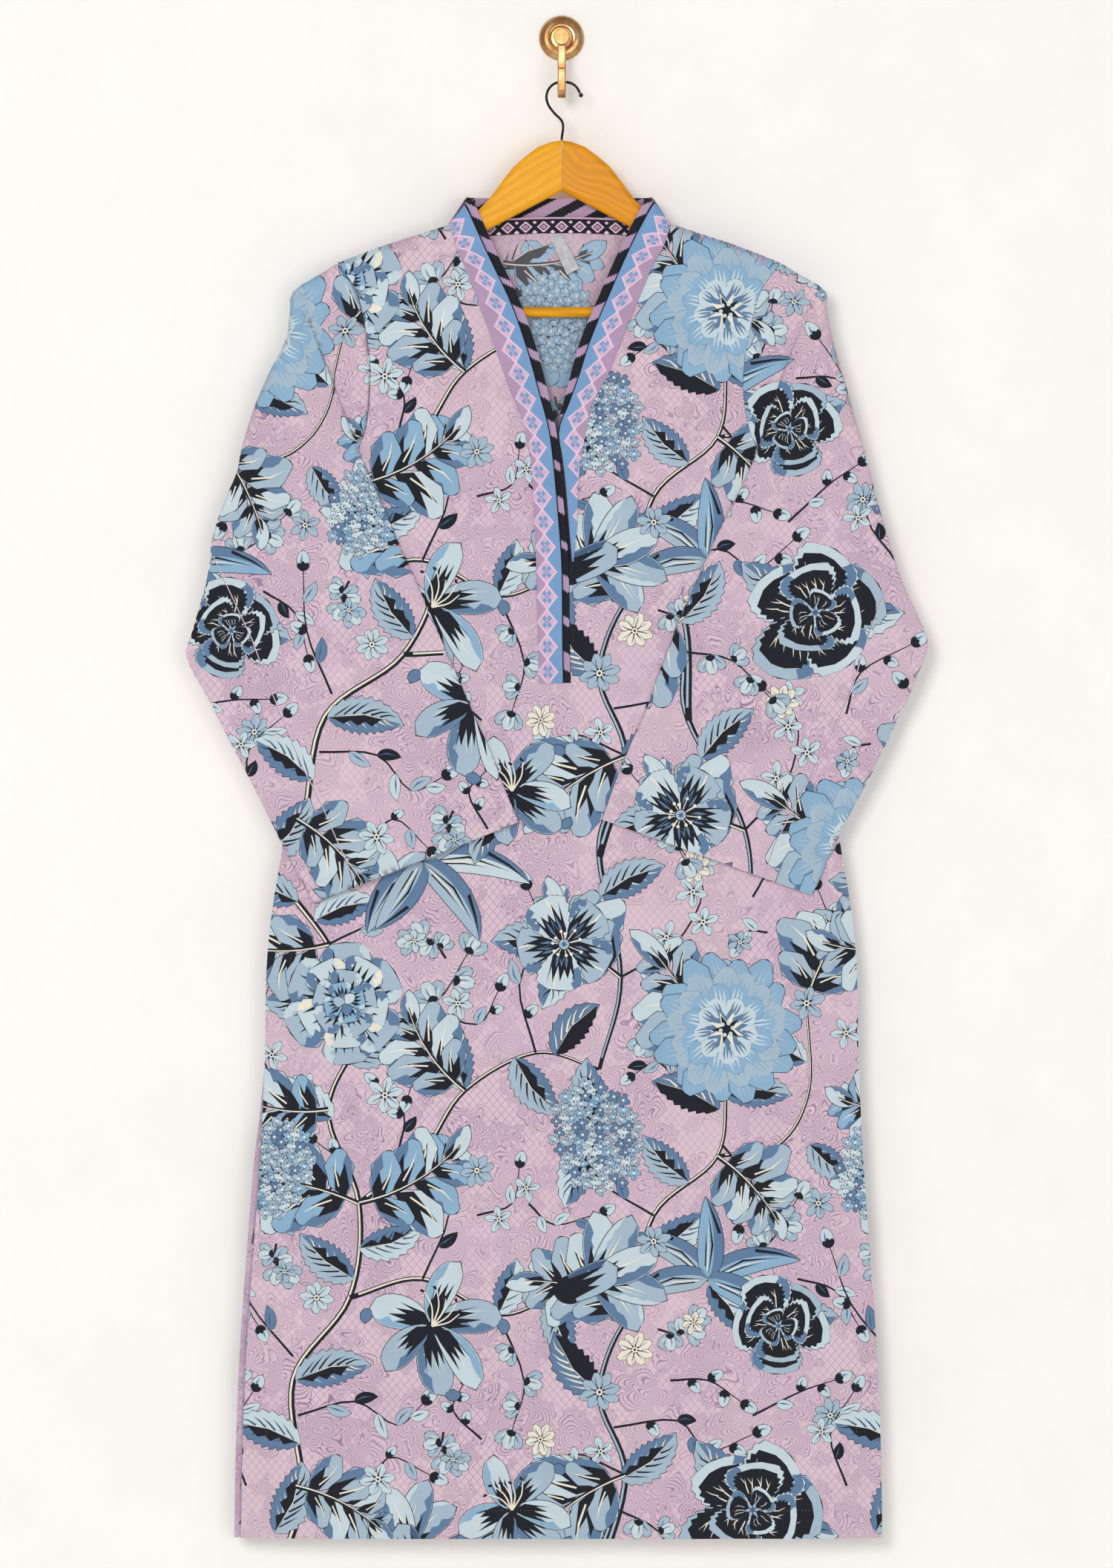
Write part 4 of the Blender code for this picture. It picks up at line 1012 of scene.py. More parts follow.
def plume(sketch, x, y, angle, length, width, bend, rng, fill="light"):
    """A large leaf of curling lobes on both sides of a bent rib."""
    rib = Blade(x, y, angle, length, width, bend)
    for k, share in enumerate((0.42, 0.66, 0.88, 1.0, 0.78)):
        t = 0.8 - 0.17 * k
        for side in (1, -1):
            long = width * 0.62 * share * rng.uniform(0.9, 1.12)
            lobe = Blade(*rib.at(t, 0.0), angle + bend * t + side * rng.uniform(0.7, 0.9), long, long * 0.56,
                         side * rng.uniform(-0.2, 0.95), (0.75, 0.5), 3, 0.07)
            lobe.outlined(sketch, fill if (k + (side > 0)) % 3 else "pale")
            lobe.jagged(sketch, "denim", 0.1, 0.95, side * 0.96, side * 0.3, 3, rng)
            lobe.flame(sketch, "ink", rng.uniform(0.55, 0.85), 0.85, 2, rng)
            lobe.spike(sketch, "cream", 0.25, 0.85, -side * 0.3, -side * 0.35, 0.14)
    tip = Blade(*rib.at(0.76, 0.0), angle + bend * 0.8, length * 0.34, width * 0.2, bend * 0.6)
    petal(sketch, tip, rng, "pale", "denim", 2, 1, 0.5)
    line = rib.at(np.linspace(0.0, 0.94, 9), 0.0)
    ribbon(sketch, line, 4.2, 1.4, "ink")
    ribbon(sketch, line, 1.3, 0.5, "cream", 0.6)


def dark_bloom(sketch, x, y, size, turn, rng):
    """A large flower of broad dark petals with pale scalloped rims and pale veins."""
    for share, count, wide in ((1.0, 5, 0.98), (0.66, 3, 0.86), (0.36, 3, 0.44)):
        for k in range(count):
            angle = turn + share * 2.3 + k * math.tau / count + rng.uniform(-0.22, 0.22)
            long = size * share * rng.uniform(0.86, 1.14)
            bend = rng.uniform(-0.6, 0.6)
            side = 1 if bend > 0 else -1
            blade = Blade(x, y, angle, long, size * wide, bend, (0.95, 0.4), 9, 0.04)
            blade.outlined(sketch, ("pale", "light")[k % 2])
            blade.jagged(sketch, "denim", 0.4, 0.96, side * 0.96, side * 0.5, 4, rng)
            core = Blade(x, y, angle - side * 0.1, long * 0.88, size * wide * 0.78, bend,
                         (0.95, 0.42), 9, 0.07)
            sketch.add(core.border(), "ink")
            for f in (-0.55, -0.2, 0.2, 0.5):
                if rng.random() < 0.8:
                    core.spike(sketch, "cream" if share > 0.5 else "pale",
                               0.38, rng.uniform(0.62, 0.86), f * 0.8, f * 1.1, 0.07)
                    core.spike(sketch, "cream", 0.6, 0.78, f * 0.95, f * 1.1 + 0.22, 0.05)
    burst(sketch, x, y, size * 0.05, size * 0.14, 6, "light", turn)
    burst(sketch, x, y, size * 0.03, size * 0.08, 6, "deep", turn + 0.4)


def fill_gaps(sketch, rng):
    """Small flowers, leaves and sprays wherever the print still has room."""
    cell = 5.0
    wide, high = int(REPEAT[0] / cell), int(REPEAT[1] / cell)
    taken = np.zeros((wide, high), bool)
    for points, _ in sketch.shapes:
        at = np.floor(points / cell).astype(int)
        taken[at[:, 0] % wide, at[:, 1] % high] = True
        middle = np.floor(points.mean(axis=0) / cell).astype(int)
        taken[middle[0] % wide, middle[1] % high] = True
    spots = np.stack(np.meshgrid(np.arange(-9, 10), np.arange(-9, 10)), -1).reshape(-1, 2)
    away = np.hypot(spots[:, 0], spots[:, 1]) * cell
    for room in (36.0, 30.0, 25.0, 20.0, 16.0):
        ring = spots[away < room]
        for _ in range(900):
            x, y = rng.uniform(0, REPEAT[0]), rng.uniform(0, REPEAT[1])
            i, j = int(x / cell), int(y / cell)
            around = ((ring[:, 0] + i) % wide, (ring[:, 1] + j) % high)
            if taken[around].any():
                continue
            angle = rng.uniform(0, math.tau)
            start = (x - 0.8 * room * math.cos(angle - 0.5), y - 0.8 * room * math.sin(angle - 0.5))
            end = (x + 0.6 * room * math.cos(angle + 0.5), y + 0.6 * room * math.sin(angle + 0.5))
            if room > 28:
                plume(sketch, *start, angle, room * 1.7, room * 1.3, rng.uniform(-0.6, 0.6), rng)
            elif room > 18:
                sprig(sketch, [start, (x, y), end], rng, 15, rng.choice(("mixed", "bell", "leaf")))
                daisy(sketch, *end, 10, angle, rng, 6, rng.choice(("pale", "light", "cream")))
            else:
                for k in (-1, 1):
                    small = Blade(x, y, angle + k * 1.2, room * 0.8, room * 0.34, k * 0.5, (0.7, 0.8))
                    small.outlined(sketch, rng.choice(("ink", "denim", "light")), 0.4)
                daisy(sketch, x, y, room * 0.52, angle, rng, 5, rng.choice(("pale", "light", "cream")))
            taken[around] = True


def round_about(x, y, radius, angles):
    return np.stack([x + radius * np.cos(angles), y + radius * np.sin(angles)], -1)


def dot(sketch, x, y, radius, colour, sides=8):
    angles = np.linspace(0, 2 * math.pi, sides, endpoint=False)
    sketch.add(round_about(x, y, radius, angles), colour)


def burst(sketch, x, y, inner, outer, points, colour, turn):
    angles = np.arange(2 * points) * math.pi / points + turn
    radius = np.where(np.arange(2 * points) % 2, inner, outer)
    sketch.add(round_about(x, y, radius, angles), colour)


def lily(sketch, x, y, size, turn, rng):
    """An open flower with six long petals that curl at their tips."""
    for n, k in enumerate((0, 2, 4, 1, 3, 5)):
        angle = turn + k * math.tau / 6 + rng.uniform(-0.08, 0.08)
        length = size * rng.uniform(0.9, 1.12)
        width = size * (0.48 if n < 3 else 0.42)
        blade = Blade(x, y, angle, length, width, rng.choice((-0.7, 0.65)), (0.8, 0.55))
        petal(sketch, blade, rng, ("light", "pale")[n % 2], ("denim", "sky")[n % 2], 4, 2, 0.66)
        if n < 3:
            curl = Blade(*blade.at(0.97, 0.0), angle + blade.bend * 1.9, size * 0.22, size * 0.16,
                         blade.bend * 1.5)
            curl.outlined(sketch, "denim")
    burst(sketch, x, y, size * 0.07, size * 0.2, 7, "ink", turn + 0.3)
    for k in range(5):
        angle = turn + 0.5 + (k - 2) * 0.34
        reach = size * rng.uniform(0.42, 0.56)
        end = (x + reach * math.cos(angle + 0.2), y + reach * math.sin(angle + 0.2))
        middle = (x + reach * 0.55 * math.cos(angle), y + reach * 0.55 * math.sin(angle))
        ribbon(sketch, smooth_line([(x, y), middle, end], 4), 1.5, 0.8, "cream")
        tip = Blade(*end, angle + 1.2, 4.6, 2.4)
        sketch.add(tip.border(0.0, 5), "ink")


def trumpet(sketch, x, y, size, angle, rng):
    """A lily seen from the side: petals fan out of a tube at (x, y)."""
    tube = Blade(x, y, angle, size * 0.75, size * 0.34, 0.15, (0.35, 0.25))
    fan = [(-0.95, 1.0, -0.9), (0.95, 1.0, 0.9), (-0.45, 1.12, -0.5), (0.5, 1.1, 0.55), (0.0, 1.05, 0.1)]
    neck = tube.at(0.55, 0.0)
    for n, (lean_by, long, bend) in enumerate(fan):
        blade = Blade(*neck, angle + lean_by * 0.75, size * 0.78 * long, size * 0.36, bend, (0.75, 0.6))
        petal(sketch, blade, rng, ("light", "pale", "light")[n % 3], "denim", 3, 2, 0.5, "pale")
    petal(sketch, tube, rng, "light", "deep", 3, 1, 0.8)
    for k in (-1, 0, 1):
        sepal = Blade(x, y, angle + 0.5 * k, size * 0.26, size * 0.12, 0.3 * k)
        sketch.add(sepal.border(), "ink")


def fringed(sketch, x, y, size, turn, rng):
    """A full round flower with several rings of fringed petals."""
    rings = ((1.0, 17, "sky", "light", 0.36), (0.82, 15, "light", "sky", 0.34),
             (0.62, 12, "sky", "pale", 0.3), (0.44, 9, "pale", "denim", 0.26))
    for level, (share, count, fill, stripe, wide) in enumerate(rings):
        reach = size * share
        for k in range(count):
            angle = turn + (k + 0.5 * (level % 2)) * math.tau / count + rng.uniform(-0.05, 0.05)
            long = reach * rng.uniform(0.92, 1.06)
            blade = Blade(x, y, angle, long, size * wide, rng.uniform(-0.25, 0.25), (1.2, 0.42), 5, 0.07)
            if level == 0:
                sketch.add(blade.border(OUTLINE), "ink")
            elif k % 2:
                sketch.add(blade.border(0.35), "denim")
            sketch.add(blade.border(), fill)
            for f in (-0.5, -0.1, 0.35):
                blade.spike(sketch, stripe, 0.5, rng.uniform(0.86, 0.97), f * 0.7, f, 0.22)
            blade.spike(sketch, "denim", 0.35, 0.78, 0.1, 0.12, 0.16)
    burst(sketch, x, y, size * 0.17, size * 0.3, 11, "denim", turn)
    burst(sketch, x, y, size * 0.1, size * 0.25, 8, "cream", turn + 0.2)
    burst(sketch, x, y, size * 0.07, size * 0.2, 5, "ink", turn + 0.5)
    reach = size * 0.08
    for k in range(6):
        angle = turn + k * math.tau / 6
        dot(sketch, x + reach * math.cos(angle), y + reach * math.sin(angle), size * 0.028, "pale", 7)


def rose(sketch, x, y, size, turn, rng):
    """A full flower of broad scalloped petals that close in on its heart."""
    rings = ((1.0, 6, 0.86, "light"), (0.78, 5, 0.74, "pale"),
             (0.56, 5, 0.56, "light"), (0.36, 4, 0.4, "sky"))
    for level, (share, count, wide, fill) in enumerate(rings):
        for k in range(count):
            angle = turn + level * 0.5 + k * math.tau / count + rng.uniform(-0.1, 0.1)
            long = size * share * rng.uniform(0.94, 1.05)
            blade = Blade(x, y, angle, long, size * wide, rng.uniform(-0.2, 0.2), (1.1, 0.3), 4, 0.04)
            blade.outlined(sketch, fill)
            blade.jagged(sketch, "denim", 0.55, 0.96, 0.95, 0.5, 3, rng)
            blade.jagged(sketch, "pale" if fill != "pale" else "cream", 0.6, 0.97, -0.95, -0.6, 3, rng)
            blade.flame(sketch, "ink", 0.84, 0.7, 4, rng, 0.3)
            blade.flame(sketch, "denim", 0.68, 0.4, 3, rng, 0.3)
    for k in range(3):
        heart = Blade(x, y, turn + 2.1 * k, size * 0.2, size * 0.18, 1.2, (0.8, 0.4))
        heart.outlined(sketch, ("pale", "light", "denim")[k])


def poppy(sketch, x, y, size, turn, rng):
    """A dark open flower with pale frilled rims and a ring of stamens."""
    for k in (0, 2, 4, 1, 3):
        angle = turn + k * math.tau / 5
        blade = Blade(x, y, angle, size * rng.uniform(0.95, 1.08), size * 0.98, rng.uniform(-0.15, 0.15),
                      (0.95, 0.3), 6, 0.05)
        blade.outlined(sketch, ("light", "pale")[k % 2])
        blade.jagged(sketch, "denim", 0.45, 0.97, 0.96, 0.55, 4, rng)
        blade.flame(sketch, "ink", rng.uniform(0.78, 0.9), 0.82, 5, rng)
        blade.flame(sketch, "denim", 0.6, 0.42, 3, rng, 0.2)
        blade.flame(sketch, "ink", 0.5, 0.34, 3, rng)
        blade.spike(sketch, "cream", 0.96, 0.6, -0.3, -0.2, 0.1)
    for k in range(11):
        angle = turn + k * math.tau / 11 + rng.uniform(-0.15, 0.15)
        reach = size * rng.uniform(0.22, 0.4)
        end = (x + reach * math.cos(angle), y + reach * math.sin(angle))
        ribbon(sketch, np.array([(x, y), end]), 0.7, 0.7, "cream")
        dot(sketch, *end, 1.5, "cream", 6)
    dot(sketch, x, y, size * 0.13, "ink", 12)
    dot(sketch, x, y, size * 0.11, "light", 12)
    burst(sketch, x, y, size * 0.03, size * 0.09, 7, "deep", turn)


def daisy(sketch, x, y, size, turn, rng, count=7, fill="pale"):
    """A small open flower."""
    for k in range(count):
        angle = turn + k * math.tau / count
        blade = Blade(x, y, angle, size * rng.uniform(0.9, 1.1), size * 0.5, rng.uniform(-0.3, 0.3),
                      (0.8, 0.4), 3, 0.1)
        blade.outlined(sketch, fill, 0.4)
        blade.spike(sketch, "denim" if k % 2 else "sky", 0.35, 0.85, 0.25, 0.35, 0.3)
    burst(sketch, x, y, size * 0.14, size * 0.5, count, "ink", turn + math.pi / count * 0.4)
    dot(sketch, x, y, size * 0.17, "cream", 8)
    dot(sketch, x, y, size * 0.08, "ink", 6)


def floret(sketch, x, y, size, turn, fill):
    """A flower of four round petals."""
    angles = np.arange(16) * math.tau / 16
    reach = size * np.tile((0.5, 0.88, 1.0, 0.88), 4)
    for more, colour in ((0.5, "ink"), (0.0, fill)):
        sketch.add(round_about(x, y, reach + more, angles + turn), colour)
    for k in range(0, 16, 8):
        notch = Blade(x, y, angles[k] + turn + 0.9, size * 0.8, size * 0.3)
        sketch.add(notch.at([0.0, 0.5, 1.0, 0.5], [0.0, 1.0, 0.0, -1.0]), "denim")
    dot(sketch, x, y, size * 0.22, "cream", 5)


def cluster(sketch, x, y, wide, high, turn, rng):
    """A crowded head of small four-petalled flowers."""
    count = int(wide * high / 78)
    c, s = math.cos(turn), math.sin(turn)
    for k in range(count):
        spread = math.sqrt((k + 0.5) / count)
        angle = k * GOLDEN_ANGLE
        a, b = wide / 2 * spread * math.cos(angle), high / 2 * spread * math.sin(angle)
        fill = rng.choice(("light", "sky", "pale", "light", "denim"))
        floret(sketch, x + a * c - b * s, y + a * s + b * c, rng.uniform(4.6, 6.2), rng.uniform(0, 1.5), fill)


def bud(sketch, x, y, angle, size, rng):
    """A bud in three dark sepals."""
    blade = Blade(x, y, angle, size, size * 0.62, rng.uniform(-0.3, 0.3), (0.5, 0.6))
    blade.outlined(sketch, "pale", 0.45)
    blade.spike(sketch, "denim", 0.15, 0.85, 0.35, 0.2, 0.4)
    for lean_by in (-0.55, 0.0, 0.55):
        sepal = Blade(x, y, angle + lean_by, size * 0.5, size * 0.26, 0.0)
        sketch.add(sepal.border(0.0, 6), "ink")


def bell(sketch, x, y, angle, size):
    """A small hanging flower with three flared petals."""
    for lean_by in (-0.55, 0.55, 0.0):
        blade = Blade(x, y, angle + lean_by, size, size * 0.6, lean_by * 0.6, (0.6, 0.3), 3, 0.06)
        blade.outlined(sketch, "pale" if lean_by == 0 else "light", 0.45)
        blade.spike(sketch, "denim", 0.2, 0.85, 0.2, 0.3, 0.28)
        blade.spike(sketch, "cream", 0.3, 0.8, -0.25, -0.3, 0.2)
    cap = Blade(x, y, angle, size * 0.36, size * 0.5, 0.0, (0.4, 0.7))
    sketch.add(cap.border(0.0, 6), "ink")


def sprig(sketch, points, rng, size, kind):
    """A thin stem with small leaves, buds or bells by turns."""
    line = smooth_line(points, 4)
    ribbon(sketch, line, 2.1, 0.8, "ink")
    side = 1
    for k in range(2, len(line) - 1, 2):
        run = line[k + 1] - line[k]
        angle = math.atan2(run[1], run[0])
        side = -side
        if kind == "bell":
            bell(sketch, *line[k], angle + side * 1.25, size * rng.uniform(0.85, 1.1))
        elif kind == "bud" or (kind == "mixed" and rng.random() < 0.45):
            bud(sketch, *line[k], angle + side * 0.95, size * rng.uniform(0.7, 0.95), rng)
        elif kind == "star" and rng.random() < 0.6:
            aside = side * size * 0.5 * np.array((-math.sin(angle), math.cos(angle)))
            daisy(sketch, *(line[k] + aside), size * 0.75, rng.uniform(0, 3), rng, 5)
        else:
            small = Blade(*line[k], angle + side * 0.8, size * rng.uniform(0.9, 1.3), size * 0.52,
                          -side * 0.5, (0.7, 0.9))
            small.outlined(sketch, rng.choice(("light", "pale", "denim", "ink")), 0.4)
            small.spike(sketch, "deep", 0.0, 0.8, 0.3, 0.1, 0.35)
    run = line[-1] - line[-2]
    angle = math.atan2(run[1], run[0])
    if kind == "bell":
        bell(sketch, *line[-1], angle, size)
    else:
        bud(sketch, *line[-1], angle, size, rng)


# branches: the widths at both ends, the light and the course
BRANCHES = (
    (6.5, 4.0, "cream", (20, -20), (36, 10), (48, 60), (40, 150), (88, 220), (96, 300), (70, 380),
     (104, 450)),
    (4.6, 3.0, "cream", (88, 220), (150, 236), (214, 206), (262, 222)),
    (5.0, 2.6, "cream", (96, 300), (150, 344), (186, 396), (246, 428), (300, 414)),
    (6.0, 3.4, "light", (300, -16), (322, 70), (300, 140), (330, 210), (392, 236)),
    (4.6, 2.8, "cream", (330, 210), (346, 290), (400, 340), (408, 404)),
    (3.6, 2.0, "cream", (400, 340), (452, 350), (478, 396), (476, 470)),
    (3.4, 6.0, "light", (300, 414), (318, 492), (300, 594), (310, 640)),
    (4.0, 6.5, "cream", (104, 450), (70, 520), (20, 590), (36, 620)),
)
# sprigs: the size, the kind and the course
SPRIGS = (
    (18, "mixed", (150, 236), (172, 290), (160, 330)), (17, "bell", (214, 206), (236, 150), (226, 108)),
    (18, "leaf", (44, 120), (92, 132), (128, 112), (150, 130)),
    (18, "mixed", (40, 170), (4, 214), (-14, 262)), (17, "star", (322, 70), (276, 88), (250, 60)),
    (17, "mixed", (312, 110), (366, 116), (392, 90), (430, 104)),
    (18, "mixed", (346, 290), (302, 318), (286, 352)), (17, "bell", (392, 236), (440, 262), (468, 304)),
    (18, "mixed", (476, 470), (500, 520), (486, 566)),
    (18, "star", (318, 492), (364, 520), (388, 566), (370, 600)),
    (18, "mixed", (246, 428), (232, 486), (252, 530), (240, 566)),
    (18, "bell", (104, 450), (160, 470), (188, 512)), (18, "mixed", (70, 520), (122, 548), (150, 590)),
    (17, "star", (70, 380), (26, 404), (8, 444), (20, 486)),
    (16, "bud", (186, 396), (150, 420), (138, 392)), (17, "mixed", (96, 40), (120, 84), (156, 70)),
    (17, "bell", (316, 40), (350, 22), (372, -18)), (16, "bud", (360, 150), (392, 150), (420, 132)),
    (16, "mixed", (468, 236), (500, 226), (520, 196)), (17, "mixed", (404, 350), (430, 316), (420, 282)),
    (16, "bell", (340, 520), (352, 480), (338, 440)), (17, "mixed", (150, 468), (196, 452), (214, 480)),
    (17, "mixed", (430, 560), (452, 590), (500, 600)), (15, "star", (196, 290), (226, 300), (232, 330)),
    (15, "mixed", (130, 346), (134, 376), (112, 400)), (16, "star", (0, 60), (-14, 104), (6, 140)),
    (16, "mixed", (430, 120), (470, 140), (500, 150)), (15, "mixed", (200, 100), (176, 124), (184, 146)),
    (15, "leaf", (240, 300), (262, 282), (300, 292)), (15, "bud", (60, 300), (84, 330), (60, 352)),
    (15, "leaf", (372, 396), (350, 420), (330, 410)),
)
# leaves: x, y, angle, length, width, bend, and 1 for the light kind
LEAVES = (
    (24, 20, 0.9, 66, 32, 0.6, 1), (262, 222, -1.6, 56, 27, 0.6, 1), (214, 206, 1.0, 50, 25, 0.5, 0),
    (452, 196, 0.4, 52, 27, -0.5, 1), (452, 196, 2.1, 56, 28, 0.4, 0), (430, 40, 2.4, 76, 36, -0.3, 1),
    (430, 40, -0.5, 76, 36, 0.4, 0), (270, 520, 2.9, 62, 31, 0.4, 1), (270, 520, -1.7, 58, 29, -0.4, 0),
    (84, 470, 3.3, 70, 33, -0.4, 1), (84, 470, -0.9, 68, 33, 0.5, 0), (24, 330, -1.5, 60, 29, 0.4, 1),
    (298, 356, -2.2, 66, 31, 0.4, 0), (298, 356, 1.9, 68, 32, -0.4, 1), (226, 40, -2.3, 70, 32, 0.5, 1),
    (46, 96, 2.6, 62, 30, 0.5, 0), (42, 150, 0.5, 66, 30, -0.6, 1), (96, 262, 0.0, 58, 27, 0.7, 0),
    (92, 236, 2.7, 60, 29, -0.5, 1), (74, 372, 2.4, 64, 30, 0.6, 0), (88, 420, 0.3, 58, 27, 0.6, 1),
    (186, 396, 2.0, 60, 28, -0.6, 0), (228, 424, -1.2, 62, 29, 0.6, 1), (262, 426, 1.2, 58, 27, -0.7, 0),
    (318, 66, 0.4, 62, 29, 0.6, 1), (300, 138, 2.5, 66, 31, -0.6, 0), (326, 200, 2.2, 52, 26, 0.5, 1),
    (340, 262, 0.2, 60, 28, 0.7, 0), (376, 318, 2.6, 56, 27, -0.5, 1), (402, 380, 2.5, 62, 29, 0.5, 0),
    (406, 392, 0.3, 58, 28, -0.6, 1), (476, 420, 2.5, 50, 25, 0.5, 0), (300, 560, 0.7, 62, 29, -0.5, 1),
    (306, 520, 2.6, 56, 27, 0.5, 0), (44, 556, 2.6, 62, 29, 0.5, 1), (58, 540, 0.6, 56, 27, -0.6, 0),
    (392, 232, -0.7, 54, 26, -0.5, 0), (478, 350, -0.9, 46, 24, 0.5, 1),
)
# fountains of long leaves: x, y, the leaves' width and colours, and their angle, length and bend
FOUNTAINS = (
    (150, 590, 24, ("light", "pale"),
     ((2.9, 92, 0.9), (0.25, 96, -0.9), (2.4, 84, 0.8), (0.9, 86, -0.8), (1.7, 74, 0.4), (3.7, 78, 0.7),
      (-0.6, 84, -0.7), (4.3, 70, -0.4))),
    (392, 236, 22, ("light", "sky"),
     ((2.2, 78, 0.9), (0.6, 82, -0.8), (1.4, 70, 0.4), (3.0, 72, 0.8), (-0.2, 74, -0.8))),
)
# lobed leaves: x, y, angle, length, width and bend
PLUMES = (
    (96, 300, 2.7, 104, 88, 0.5), (96, 300, 0.2, 108, 84, 0.7), (330, 210, 2.6, 104, 84, 0.6),
    (318, 492, 2.5, 98, 80, -0.5), (400, 340, -0.6, 84, 70, -0.5), (70, 520, 3.4, 98, 82, -0.6),
    (322, 70, 3.5, 100, 84, 0.5), (70, 380, 3.3, 84, 74, -0.6), (186, 396, 2.5, 92, 78, -0.7),
    (408, 404, 1.9, 140, 92, 0.4), (476, 470, 1.3, 96, 80, -0.5), (42, 60, -0.2, 90, 76, -0.6),
)
# small flowers: x, y and size
DAISIES = (
    (300, 140, 17), (330, 176, 15), (118, 392, 15), (196, 328, 14), (476, 470, 15), (346, 268, 14),
    (112, 66, 15), (60, 220, 14), (180, 470, 13), (496, 120, 14), (380, 586, 14), (250, 100, 13),
    (486, 300, 13),
)


def print_repeat():
    """One repeat of the print: a winding branch with large flowers, leaves and small sprigs."""
    rng = random.Random(11)
    s = Sketch()
    for start, end, light, *points in BRANCHES:
        stem(s, points, start, end, light)
    for size, kind, *points in SPRIGS:
        sprig(s, points, rng, size, kind)
    for x, y, angle, length, width, bend, kind in LEAVES:
        if kind:
            looks = (9, "light", "denim", "ink")
        else:
            looks = (8, "denim", "ink", "cream") if rng.random() < 0.35 else (8, "pale", "denim", "deep")
        leaf(s, x, y, angle, length, width, bend, rng, *looks)
    for x, y, width, fills, straps in FOUNTAINS:
        for angle, length, bend in straps:
            strap(s, x, y, angle, length, width, bend, rng.choice(fills))
    for x, y, angle, length, width, bend in PLUMES:
        plume(s, x, y, angle, length, width, bend, rng, rng.choice(("light", "light", "sky")))
    # large flowers
    fringed(s, 408, 448, 64, 0.2, rng)
    lily(s, 158, 196, 60, 0.4, rng)
    trumpet(s, 262, 222, 78, 0.35, rng)
    trumpet(s, 150, 590, 70, 1.9, rng)
    rose(s, 84, 470, 50, 0.5, rng)
    dark_bloom(s, 430, 40, 58, 0.1, rng)
    dark_bloom(s, 452, 196, 44, 1.1, rng)
    cluster(s, 298, 356, 74, 96, 0.3, rng)
    cluster(s, 24, 330, 62, 84, -0.3, rng)
    lily(s, 226, 40, 52, 1.2, rng)
    poppy(s, 270, 520, 40, 0.8, rng)
    for x, y, size in DAISIES:
        daisy(s, x, y, size, rng.uniform(0, 3), rng,
              rng.choice((6, 7, 8)), rng.choice(("pale", "cream", "light")))
    fill_gaps(s, rng)
    return s


def print_shapes(sheet, shift, turn=0.0):
    """The shapes of the repeated print that touch a sheet's flat outline."""
    outline = np.array([sheet.flat[r, c] for r, c in sheet.outline()])
    low, high = outline.min(axis=0) - 2.0, outline.max(axis=0) + 2.0
    c, s = math.cos(turn), math.sin(turn)
    reach = np.linalg.norm(high - low)
    middle = (low + high) / 2
    chosen = []
    for i in range(-4, 5):
        for j in range(-4, 5):
            a, b = shift[0] + i * REPEAT[0], shift[1] + j * REPEAT[1]
            x, y = a * c - b * s, a * s + b * c
            if math.hypot(x - middle[0], y - middle[1]) > reach / 2 + sum(REPEAT):
                continue
            for points, colour in PRINT.moved(x, y, turn):
                if (points.max(axis=0) > low).all() and (points.min(axis=0) < high).all():
                    chosen.append((points, colour))
    return chosen


# ---- materials


